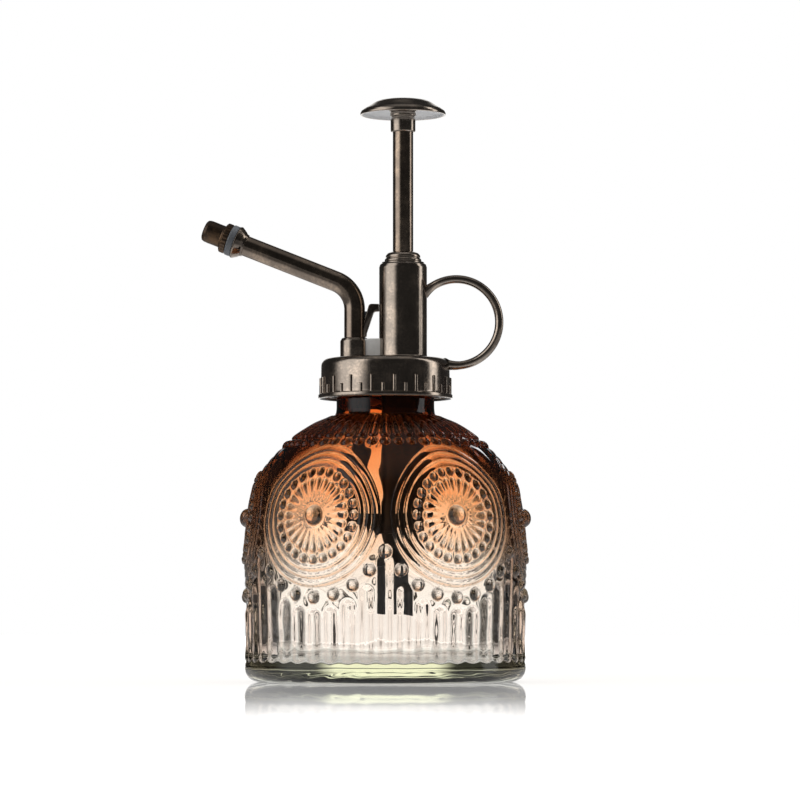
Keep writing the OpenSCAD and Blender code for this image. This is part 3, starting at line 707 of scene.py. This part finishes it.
# ---------------------------------------------------------------- collar
def make_collar():
    """Skirt, rim band, ribs and rolled top edge as one shell, with the deck's hole for the cylinder."""
    rim, deck = RIM, DECK
    under = deck - 1.3
    pitch = 10.0
    off = [-5.0, -4.0, -3.0, -2.1, -1.65, -1.5, -1.38, -1.15, -0.8, -0.4, 0.0, 0.4, 0.8, 1.15, 1.38, 1.5, 1.65, 2.1, 3.0, 4.0]
    ang, kind = [], []
    for i in range(36):
        for o in off:
            ang.append(math.radians(i * pitch + 3 + o))
            kind.append((i, o))
    n = len(ang)
    out = [(16.6, rim + 0.25), (16.75, rim + 0.03), (17.0, rim), (18.0, rim), (18.22, rim + 0.05), (18.36, rim + 0.18), (18.4, rim + 0.4),
           (18.4, rim + 0.95), (18.36, rim + 1.12), (18.22, rim + 1.24), (17.98, rim + 1.32), (17.8, rim + 1.4), (17.72, rim + 1.55), (17.70, rim + 2.2),
           (17.69, rim + 3.0), (17.68, rim + 3.3), (17.68, rim + 3.42), (17.68, rim + 3.52), (17.68, rim + 3.60), (17.68, rim + 3.68), (17.67, rim + 3.9),
           (17.66, rim + 4.6), (17.66, rim + 5.3), (17.65, rim + 5.55), (17.65, rim + 5.65), (17.65, rim + 5.74), (17.65, rim + 5.82), (17.65, rim + 5.9), (17.64, rim + 6.2),
           (17.63, rim + 7.2), (17.61, rim + 8.3)]
    cz, cr = deck - 2.1, 17.6 - 2.1
    out += [(cr + 2.1 * math.cos(math.radians(t)), cz + 2.1 * math.sin(math.radians(t))) for t in range(6, 91, 7)]
    inn = [(15.3, under), (16.0, under), (16.3, under - 0.05), (16.5, under - 0.2), (16.6, under - 0.45), (16.6, rim + 4), (16.6, rim + 1)]
    chain = out + [(15.2, deck)] + inn
    verts, faces = [], []
    for (r, z) in chain:
        for a, (i, o) in zip(ang, kind):
            rr = r
            if 17.6 < r and rim + 1.1 < z < rim + 6.0:
                top = rim + (5.75 if i % 2 == 0 else 3.55)
                sz = np.clip((top + 0.12 - z) / 0.22, 0, 1) ** 0.5
                sp = np.clip(1 - (abs(o) / 1.5) ** 2.6, 0, 1) ** 0.6
                rr = max(r, r + (18.14 - r) * sz * sp)
            verts.append((rr * math.cos(a), rr * math.sin(a), z))
    m = len(chain)
    gap = len(out)          # the deck's flat parts are filled, not swept
    for i in range(m):
        if i == gap:
            continue        # between the deck's top edge and its underside
        j = (i + 1) % m
        for k in range(n):
            k2 = (k + 1) % n
            faces.append((i * n + k, i * n + k2, j * n + k2, j * n + k))
    bm = bmesh.new()
    bv = [bm.verts.new(v) for v in verts]
    # the first three rows, the underside of the rim, take material 1: near-black painted shade
    for k, f in enumerate(faces):
        bm.faces.new([bv[x] for x in f]).material_index = 1 if k < 3 * n else 0
    hs = 96
    rings = []
    for zz in (deck, under):
        rings.append([bm.verts.new((PUMP_X + 6.05 * math.cos(2 * math.pi * k / hs), 6.05 * math.sin(2 * math.pi * k / hs), zz)) for k in range(hs)])
    for k in range(hs):
        k2 = (k + 1) % hs
        bm.faces.new((rings[0][k], rings[0][k2], rings[1][k2], rings[1][k]))
    bm.edges.ensure_lookup_table()
    for row, ring in ((gap, rings[0]), (gap + 1, rings[1])):
        es = []
        for k in range(n):
            es.append(bm.edges.get((bv[row * n + k], bv[row * n + (k + 1) % n])))
        for k in range(hs):
            es.append(bm.edges.get((ring[k], ring[(k + 1) % hs])))
        bmesh.ops.triangle_fill(bm, use_beauty=True, use_dissolve=False, edges=[e for e in es if e])
    bmesh.ops.recalc_face_normals(bm, faces=bm.faces)
    for v in bm.verts:
        v.co *= MM
    me = bpy.data.meshes.new("collar_shell")
    bm.to_mesh(me)
    bm.free()
    me.materials.append(M_BRONZE)
    me.materials.append(M_RIM_SHADE)
    me.polygons.foreach_set("use_smooth", np.ones(len(me.polygons), bool))
    me.set_sharp_from_angle(angle=math.radians(28))
    ob = bpy.data.objects.new("collar_shell", me)
    scene.collection.objects.link(ob)
    return ob


collar = place(make_collar(), "head", ["collar"])

# ---------------------------------------------------------------- barrel, cap, rod, button
P0 = (PUMP_X, 0, 0)
BT, D0 = BARREL_TOP, DECK
barrel = place(lathe("barrel_sleeve", fillet([
    (6.0, D0), (6.85, D0), (6.92, D0 + 0.35), (6.6, D0 + 0.75), (6.55, D0 + 1.3), (6.55, BT - 1.5), (6.3, BT - 0.75), (5.9, BT - 0.45),
    (5.75, BT - 0.1), (5.3, BT), (4.0, BT), (4.0, BT - 2.9), (6.0, BT - 2.9), (6.0, D0)],
    [0, .1, .2, .25, .4, .5, .3, .12, .1, .1, .1, .1, .1, 0], 5)[:-1], [M_BRONZE], 160, P0, closed=True, shape=None),
    "head", ["pump_barrel"])
cap_obj = place(lathe("gland_cap", fillet([
    (2.85, BT - 2.9), (4.0, BT - 2.9), (4.0, BT), (5.03, BT), (5.06, BT + 0.55), (4.85, BT + 0.85), (4.62, BT + 0.95), (4.62, BT + 1.12),
    (4.78, BT + 1.25), (4.72, BT + 1.75), (4.2, BT + 2.35), (3.35, BT + 2.7), (2.95, BT + 2.66), (2.85, BT + 2.45), (2.85, BT - 2.9)],
    [0, .1, .05, .2, .3, .1, .05, .05, .2, .5, .5, .3, .05, .05, 0], 5)[:-1], [M_BRONZE], 160, P0, closed=True),
    "head", ["barrel_cap"])

PIST = mid("piston")
rod = place(lathe("plunger_rod_bar", fillet([
    (0, PIST[1][2] - 3.0), (1.25, PIST[1][2] - 3.0), (1.6, PIST[1][2] - 2.6), (1.6, PIST[2][2]), (2.8, PIST[2][2]), (2.8, FERRULE + 1),
    (2.8, BUTTON + 0.9), (0, BUTTON + 0.9)], [0, .1, .1, .0, .15, 0, .1, 0], 4), [M_BRONZE_ROD], 128, P0), "plunger", ["plunger_rod"])
F = FERRULE
ferrule = place(lathe("button_sleeve", fillet([
    (2.82, F), (3.15, F), (3.4, F + 0.25), (3.42, F + 3.55), (3.2, F + 3.85), (3.12, F + 4.05), (3.2, F + 4.25), (3.5, F + 4.45),
    (3.55, F + 5.2), (3.4, F + 5.6), (2.82, F + 5.6), (2.82, F)],
    [0, .1, .2, .25, .15, .1, .15, .2, .2, .1, .05, 0], 5)[:-1], [M_BRONZE], 128, P0, closed=True), "plunger", ["button_ferrule"])
B = BUTTON
BTN = fillet([
    (0, B + 0.9), (2.8, B + 0.9), (2.8, B + 0.02), (3.7, B + 0.02), (3.95, B + 1.5), (4.6, B + 2.15), (6.4, B + 2.15), (7.6, B + 1.8), (9.7, B + 0.55),
    (10.75, B - 0.05), (11.2, B - 0.85), (11.45, B - 0.93), (11.72, B - 0.85), (11.75, B - 0.4), (11.5, B + 0.15), (10.8, B + 0.72), (9.9, B + 1.25),
    (8.9, B + 1.85), (8.1, B + 2.4), (7.35, B + 2.78), (6.7, B + 3.02), (4.3, B + 3.46), (2.2, B + 3.64), (0, B + 3.7)],
    [0, 0, .1, .2, .6, .5, .6, .6, .6, .5, .25, .12, .15, .25, .4, .5, .5, .5, .8, .6, .8, 3, 4, 0], 5)
BTN_RIM = max(range(len(BTN)), key=lambda i: BTN[i][0])
# faces under the button's rim take the near-white grey, a painted reflection
button = place(lathe("thumb_button_dome", BTN, [M_BRONZE, M_UNDER_REFLECTION], 192, P0, sharp=50, face_mat=lambda i: 1 if i < BTN_RIM and 4.0 < BTN[i][0] < 11.2 else 0),
    "plunger", ["thumb_button"])

# ---------------------------------------------------------------- socket, block, brace
S0 = (ARM_X, 0, 0)
DB = CORNER.z - 18.4
socket = place(
    lathe("arm_socket", [(0, D0)] + fillet([(3.6, D0), (3.92, D0 + 0.02), (3.92, DB + 4.0), (3.5, DB + 4.75), (3.05, DB + 4.95), (2.86, DB + 4.75), (2.86, D0 + 1.0)],
    [0, .12, .5, .4, .1, .05, 0], 5) + [(0, D0 + 1.0)], [M_BRONZE], 128, S0, sharp=35), "head", ["spout_socket"])


def bevel_obj(ob, width, seg=3, angle=30):
    md = ob.modifiers.new("bevel", "BEVEL")
    md.width = width * MM
    md.segments = seg
    md.limit_method = "ANGLE"
    md.angle_limit = math.radians(angle)
    bpy.context.view_layer.update()
    dg = bpy.context.evaluated_depsgraph_get()
    me = bpy.data.meshes.new_from_object(ob.evaluated_get(dg))
    ob.modifiers.clear()
    old = ob.data
    ob.data = me
    bpy.data.meshes.remove(old)
    me.polygons.foreach_set("use_smooth", np.ones(len(me.polygons), bool))
    me.set_sharp_from_angle(angle=math.radians(40))
    return ob


def prism(name, poly, y0, y1, mats, width=0.2, seg=3):
    """A flat plate in the XZ plane with rounded edges; poly in mm, counter-clockwise."""
    n = len(poly)
    verts = [(p[0], y0, p[1]) for p in poly] + [(p[0], y1, p[1]) for p in poly]
    faces = [tuple(range(n - 1, -1, -1)), tuple(range(n, 2 * n))]
    faces += [(i, (i + 1) % n, n + (i + 1) % n, n + i) for i in range(n)]
    ob = new_obj(name, np.array(verts) * MM, faces, mats, smooth=False)
    fix_normals(ob)
    return bevel_obj(ob, width, seg)


def arc(cx, cz, r, a0, a1, n):
    return [(cx + r * math.cos(math.radians(a0 + (a1 - a0) * k / n)), cz + r * math.sin(math.radians(a0 + (a1 - a0) * k / n))) for k in range(n + 1)]


BLK = mid("delivery_block")
block = place(prism("delivery_block_body", [
    (BLK[1][0] - 0.5, D0), (BLK[2][0] + 0.6, D0), (BLK[2][0] + 0.6, DB + 4.6), (BLK[1][0] + 1.2, DB + 4.6), (BLK[1][0] - 0.5, DB + 4.45)],
    -2.2, 2.2, [M_GREY], 0.22), "head", ["delivery_block"])
brace_poly = [(-1.75, DB + 12.05), (-1.75, DB + 14.15), (-3.4, DB + 14.2)] + arc(-3.75, DB + 13.3, 0.9, 90, 155, 5) + \
    [(-6.35, DB + 7.6), (-6.9, DB + 5.4), (-6.2, DB + 5.0), (-5.25, DB + 5.1), (-5.1, DB + 6.3), (-3.3, DB + 11.6), (-2.9, DB + 12.0)]
brace = prism("arm_brace", brace_poly[::-1], -1.1, 1.1, [M_BRONZE_DARK], 0.18)
web = prism("arm_brace_web", [(-6.6, DB + 6.2), (-5.7, DB + 6.2), (-4.25, DB + 11.9), (-4.9, DB + 12.15), (-6.2, DB + 12.2)], -0.5, 0.5, [M_WASHER], 0.1)
place(brace, "head", ["spout_brace"])
place(web, "head", [])

# ---------------------------------------------------------------- spray arm
TURN = math.pi / 2 - RISE
BR = 8.3
TT = BR * math.tan(TURN / 2)
ZB = CORNER.z - TT
path = [(ARM_X, 0, D0 + 1.0 + (ZB - D0 - 1.0) * t) for t in np.linspace(0, 1, 14)]
path += [(ARM_X - BR + BR * math.cos(TURN * t), 0, ZB + BR * math.sin(TURN * t)) for t in np.linspace(0, 1, 34)[1:]]
path += [tuple(CORNER + U * (TT + (ARM_LEN + 1.2 - TT) * t)) for t in np.linspace(0, 1, 26)[1:]]
arm = place(sweep("spray_arm", path, 2.85, [M_BRONZE_ROD], segs=80, inner=1.9), "head", ["spout_tube"])
NZ = tuple(CORNER + U * (ARM_LEN - 32.6))
fitting = place(lathe("nozzle_flare", fillet([
    (2.86, 31.9), (3.1, 31.95), (3.25, 32.5), (3.7, 33.0), (4.35, 34.0), (4.55, 34.35), (4.55, 34.72), (4.35, 34.8), (2.4, 34.8), (2.4, 38.8), (0.9, 38.8),
    (0.9, 33.9), (2.86, 33.9), (2.86, 31.9)], [0, .05, .2, .3, .3, .12, .1, .05, .02, .1, .1, 0, 0, 0], 4)[:-1], [M_BRONZE_DARK], 128, NZ, closed=True, axis=U),
    "head", ["nozzle_fitting"])
washer = place(lathe("nozzle_band", fillet([
    (2.4, 34.8), (4.1, 34.8), (4.32, 35.0), (4.34, 36.45), (4.12, 36.7), (2.4, 36.7), (2.4, 34.8)], [0, .1, .15, .15, .1, 0, 0], 4)[:-1],
    [M_WASHER], 128, NZ, closed=True, axis=U), "head", ["nozzle_washer"])


def knurl(r, z, a, i):
    if r > 3.62 and 36.8 < z < 38.6:
        return r + 0.16 * (0.5 + 0.5 * math.cos(24 * a)) ** 0.7 * min(1, (38.62 - z) / 0.3, (z - 36.76) / 0.15)
    return r


tip = place(lathe("spray_cap", fillet([
    (2.45, 36.75), (3.9, 36.75), (4.04, 36.95), (4.04, 37.4), (4.04, 37.9), (4.02, 38.3), (3.72, 38.6), (3.25, 38.72), (3.12, 38.95), (3.1, 40.2), (3.12, 42.0),
    (3.06, 43.2), (2.85, 43.85), (2.3, 44.17), (0.75, 44.2), (0.6, 43.95), (0.35, 43.9), (0.35, 42.65), (2.45, 42.65), (2.45, 36.75)],
    [0, .05, .05, 0, 0, .15, .15, .1, .1, 0, .5, .6, .4, .3, .08, .05, .03, .1, .05, 0], 4)[:-1], [M_BRONZE_TIP], 192, NZ, closed=True, axis=U, shape=knurl, sharp=60),
    "nozzle", ["nozzle_cap"])

# ---------------------------------------------------------------- finger ring
ra = np.linspace(math.radians(-100), math.radians(139), 130)
rpath, rrad = [], []
for t in ra:
    rpath.append((RING_X + 11.85 * math.cos(t), 0, RING_Z + 11.85 * math.sin(t)))
    deg = math.degrees(t)
    g = 1.15
    if deg < -84:
        g += 0.25 * (-84 - deg) / 16
    if deg > 122:
        g += 0.28 * (deg - 122) / 12
    rrad.append(g)
ring = sweep("finger_ring_loop", rpath, rrad, [M_BRONZE], segs=40)
for v in ring.data.vertices:
    # the upper end meets the barrel and lies against it
    dx, dy = v.co.x - PUMP_X * MM, v.co.y
    q = math.hypot(dx, dy)
    if q < 6.5 * MM and v.co.z > 98 * MM:
        v.co.x, v.co.y = PUMP_X * MM + dx / q * 6.5 * MM, dy / q * 6.5 * MM
place(ring, "head", ["finger_ring"])
lug = place(prism("finger_ring_lug", [(15.6, D0 - 0.05), (16.6, D0 - 0.45), (17.3, D0 - 1.2), (17.55, D0 - 3.2), (18.5, D0 - 3.2), (18.75, D0 - 2.0), (17.9, D0 - 0.6), (16.6, D0 + 0.15)][::-1],
    -0.9, 0.9, [M_BRONZE_DARK], 0.25), "head", [])

# ---------------------------------------------------------------- spring, pump insides
SP = mid("return_spring")


def make_spring():
    z0, z1, turns, R = SP[1][2] + 0.45, SP[2][2] - 0.45, 14, 3.7
    n = 40 * turns
    e, c = 1.5 / turns, 1.1 * 0.9 / (z1 - z0) * turns
    pts = []
    for i in range(n + 1):
        t = i / n
        lead = c * t if t < e else (1 - c * (1 - t) if t > 1 - e else c * e + (1 - 2 * c * e) * (t - e) / (1 - 2 * e))
        a = 2 * math.pi * turns * t
        pts.append((PUMP_X + R * math.cos(a), R * math.sin(a), z0 + (z1 - z0) * lead))
    return sweep("spring_coil", pts, 0.45, [M_STEEL], segs=14, up=(0, 0, 1), sharp=70)


spring = make_spring()
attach(spring, "head")
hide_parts("return_spring")
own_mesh(spring)

for n, m in {"neck_gasket": M_RUBBER, "thread_liner": M_PALE, "rod_bush": M_PALE, "pump_cylinder": M_DARK, "valve_body": M_DARK,
             "inlet_valve_cage": M_PALE, "inlet_ball": M_STEEL, "outlet_ball": M_STEEL, "riser_tube": M_DARK, "dip_tube": M_DIP,
             "swirl_insert": M_PALE, "piston": M_PALE, "piston_seal": M_RUBBER, "piston_nut": M_BRASS}.items():
    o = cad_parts[n]
    if not o.material_slots:
        o.data.materials.append(m)
    for s in o.material_slots:
        s.material = m

# ---------------------------------------------------------------- floor, camera, light
bpy.ops.mesh.primitive_plane_add(size=2.6, location=(0, 0, 0))
floor = bpy.context.object
floor.name = "floor"
fm, nt, b, out = mat_new("floor_white")
tc = add(nt, "ShaderNodeTexCoord")
gl = add(nt, "ShaderNodeBsdfGlossy")
gl.inputs["Roughness"].default_value = 0.03
gl.inputs["Color"].default_value = (0.93, 0.932, 0.94, 1)
em = add(nt, "ShaderNodeEmission")
em.inputs["Color"].default_value = (1, 1, 1, 1)
em.inputs["Strength"].default_value = 0.72
b.inputs["Base Color"].default_value = (0.92, 0.92, 0.92, 1)
b.inputs["Roughness"].default_value = 0.6
b.inputs["Specular IOR Level"].default_value = 0.0
asum = add(nt, "ShaderNodeAddShader")
nt.links.new(b.outputs["BSDF"], asum.inputs[0])
nt.links.new(em.outputs["Emission"], asum.inputs[1])
ln = add(nt, "ShaderNodeVectorMath", operation="LENGTH")
nt.links.new(tc.outputs["Object"], ln.inputs[0])


def fade(x, x0, x1, y0, y1):
    n = add(nt, "ShaderNodeMapRange", interpolation_type="SMOOTHSTEP")
    for k, v in (("From Min", x0), ("From Max", x1), ("To Min", y0), ("To Max", y1)):
        n.inputs[k].default_value = v
    nt.links.new(x, n.inputs["Value"])
    return n.outputs["Result"]


def fmath(op, a, b=None):
    n = add(nt, "ShaderNodeMath", operation=op)
    for k, v in enumerate((a, b)):
        if isinstance(v, (int, float)):
            n.inputs[k].default_value = v
        elif v is not None:
            nt.links.new(v, n.inputs[k])
    return n.outputs[0]


# for rays other than camera rays the floor is mostly a near-black sheet of painted shade, with a painted patch of light
# in a wedge behind the bottle, towards compass 95°, and round its base
dotf = add(nt, "ShaderNodeVectorMath", operation="DOT_PRODUCT")
nrm = add(nt, "ShaderNodeVectorMath", operation="NORMALIZE")
nt.links.new(tc.outputs["Object"], nrm.inputs[0])
nt.links.new(nrm.outputs["Vector"], dotf.inputs[0])
dotf.inputs[1].default_value = (math.cos(math.radians(95)), math.sin(math.radians(95)), 0)
wedge = fade(dotf.outputs["Value"], math.cos(math.radians(21)), math.cos(math.radians(13)), 0.12, 0.74)
near = fade(ln.outputs["Value"], 0.11, 0.26, 0.52, 0.0)
lpf = add(nt, "ShaderNodeLightPath")
lit = fmath("MAXIMUM", fmath("MAXIMUM", wedge, near), lpf.outputs["Is Camera Ray"])
dim = add(nt, "ShaderNodeBsdfDiffuse")
dim.inputs["Color"].default_value = (0.05, 0.05, 0.05, 1)
flo = add(nt, "ShaderNodeMixShader")
nt.links.new(lit, flo.inputs["Fac"])
nt.links.new(dim.outputs["BSDF"], flo.inputs[1])
nt.links.new(asum.outputs["Shader"], flo.inputs[2])
ms = add(nt, "ShaderNodeMixShader")
# the floor's glow rises from 0.83 near the bottle to 1.15 far out, and for camera rays drops by up to 0.5 within 0.2 m
# of it, fading out by 0.6 m: painted shade round the bottle's base
nt.links.new(fmath("SUBTRACT", fade(ln.outputs["Value"], 0.15, 0.9, 0.83, 1.15), fmath("MULTIPLY", fade(ln.outputs["Value"], 0.2, 0.6, 0.5, 0.0), lpf.outputs["Is Camera Ray"])), em.inputs["Strength"])
lwf = add(nt, "ShaderNodeLayerWeight")
lwf.inputs["Blend"].default_value = 0.5
nt.links.new(fmath("MULTIPLY", fade(ln.outputs["Value"], 0.10, 0.45, 0.94, 0.0), fmath("POWER", lwf.outputs["Facing"], 5.0)), ms.inputs["Fac"])
nt.links.new(flo.outputs["Shader"], ms.inputs[1])
nt.links.new(gl.outputs["BSDF"], ms.inputs[2])
nt.links.new(ms.outputs["Shader"], out.inputs["Surface"])
floor.data.materials.append(fm)

AZ = math.radians(5)
RIGHT = Vector((math.cos(AZ), math.sin(AZ), 0))
cam_data = bpy.data.cameras.new("camera")
cam = bpy.data.objects.new("camera", cam_data)
scene.collection.objects.link(cam)
cam.location = Vector((math.sin(AZ), -math.cos(AZ), 0.022))
target = RIGHT * 0.004 + Vector((0, 0, 0.077))
cam.rotation_euler = (target - cam.location).to_track_quat("-Z", "Y").to_euler()
cam_data.sensor_width = 36.0
cam_data.lens = 164.5
cam_data.clip_end = 50
scene.camera = cam

w = bpy.data.worlds.new("studio")
scene.world = w
w.use_nodes = True
nt = w.node_tree
for n in list(nt.nodes):
    nt.nodes.remove(n)
wout = nt.nodes.new("ShaderNodeOutputWorld")
tc = nt.nodes.new("ShaderNodeTexCoord")
sep = nt.nodes.new("ShaderNodeSeparateXYZ")
nt.links.new(tc.outputs["Generated"], sep.inputs[0])


def wmath(op, a, b=None, c=None):
    n = nt.nodes.new("ShaderNodeMath")
    n.operation = op
    for i, v in enumerate((a, b, c)):
        if v is None:
            continue
        if isinstance(v, (int, float)):
            n.inputs[i].default_value = v
        else:
            nt.links.new(v, n.inputs[i])
    return n.outputs[0]


AZN = wmath("ARCTAN2", sep.outputs["Y"], sep.outputs["X"])
ELN = wmath("ARCSINE", sep.outputs["Z"])


def wramp(x, x0, x1):
    n = nt.nodes.new("ShaderNodeMapRange")
    n.interpolation_type = "SMOOTHSTEP"
    n.inputs["From Min"].default_value = x0
    n.inputs["From Max"].default_value = x1
    nt.links.new(x, n.inputs["Value"])
    return n.outputs["Result"]


def window(az, half, soft, el0, el1, esoft, level):
    """A soft-edged bright window in the surroundings, centred on a compass angle in degrees."""
    d = wmath("SUBTRACT", AZN, math.radians(az))
    d = wmath("WRAP", d, math.pi, -math.pi)
    d = wmath("ABSOLUTE", d)
    h = wramp(d, math.radians(half + soft), math.radians(half))
    e0 = wramp(ELN, math.radians(el0 - esoft), math.radians(el0))
    e1 = wramp(ELN, math.radians(el1 + esoft), math.radians(el1))
    return wmath("MULTIPLY", wmath("MULTIPLY", h, wmath("MULTIPLY", e0, e1)), level)


def total(*parts):
    r = parts[0]
    for p in parts[1:]:
        r = wmath("ADD", r, p)
    return r


def background(level, tint):
    c = nt.nodes.new("ShaderNodeCombineXYZ")
    for i in range(3):
        nt.links.new(wmath("MULTIPLY", level, tint[i]), c.inputs[i])
    bg = nt.nodes.new("ShaderNodeBackground")
    nt.links.new(c.outputs[0], bg.inputs["Color"])
    return bg


CAM_AZ = -85.0
# what mirrors see: a dark room with a few soft boxes
mirror_light = total(
    window(CAM_AZ + 180, 8, 5, -30, 22, 10, 1.0),
    window(CAM_AZ - 67, 14, 25, -16, 45, 14, 2.1),
    window(CAM_AZ + 96, 7, 4, -16, 50, 12, 2.4),
    wmath("MULTIPLY", wramp(ELN, math.radians(50), math.radians(75)), 0.34),
    0.05)
# the clear glass is mirror-smooth and shows weaker images of them, and one small lamp high at the back
glint_light = total(
    wmath("MULTIPLY", mirror_light, 0.4),
    window(CAM_AZ + 152, 3, 2, 28, 34, 2, 4.5))
# what is seen through glass: a lit backdrop across from the camera, and a second one to the side
through_light = total(
    window(CAM_AZ + 180, 13, 8, -30, 18, 10, 1.18),
    window(180, 8, 8, -30, 15, 10, 0.7),
    wmath("MULTIPLY", wramp(ELN, math.radians(50), math.radians(75)), 0.3),
    0.045)
bg_mirror = background(mirror_light, (1.0, 0.975, 0.94))
bg_glint = background(glint_light, (0.97, 0.985, 1.0))
bg_through = background(through_light, (1.0, 0.995, 0.985))
bg_cam = nt.nodes.new("ShaderNodeBackground")
bg_cam.inputs["Color"].default_value = (1, 1, 1, 1)
lp = nt.nodes.new("ShaderNodeLightPath")
mixt = nt.nodes.new("ShaderNodeMixShader")
nt.links.new(lp.outputs["Is Transmission Ray"], mixt.inputs["Fac"])
mixg = nt.nodes.new("ShaderNodeMixShader")
nt.links.new(lp.outputs["Is Singular Ray"], mixg.inputs["Fac"])
nt.links.new(bg_mirror.outputs[0], mixg.inputs[1])
nt.links.new(bg_glint.outputs[0], mixg.inputs[2])
nt.links.new(mixg.outputs[0], mixt.inputs[1])
nt.links.new(bg_through.outputs[0], mixt.inputs[2])
mixw = nt.nodes.new("ShaderNodeMixShader")
nt.links.new(lp.outputs["Is Camera Ray"], mixw.inputs["Fac"])
nt.links.new(mixt.outputs[0], mixw.inputs[1])
nt.links.new(bg_cam.outputs[0], mixw.inputs[2])
nt.links.new(mixw.outputs[0], wout.inputs["Surface"])


def area(name, loc, size, energy, look, color=(1, 1, 1)):
    l = bpy.data.lights.new(name, "AREA")
    l.shape = "RECTANGLE"
    l.size, l.size_y = size
    l.energy = energy
    l.color = color
    o = bpy.data.objects.new(name, l)
    scene.collection.objects.link(o)
    o.location = loc
    o.rotation_euler = (Vector(look) - Vector(loc)).to_track_quat("-Z", "Y").to_euler()
    o.visible_camera = False
    o.visible_glossy = False
    o.visible_transmission = False
    return o


area("floor_wash", (0, 0.3, 2.2), (2.5, 2.5), 52, (0, 0, 0))
scene.view_settings.view_transform = "Standard"
scene.view_settings.look = "None"
scene.view_settings.exposure = 0.0
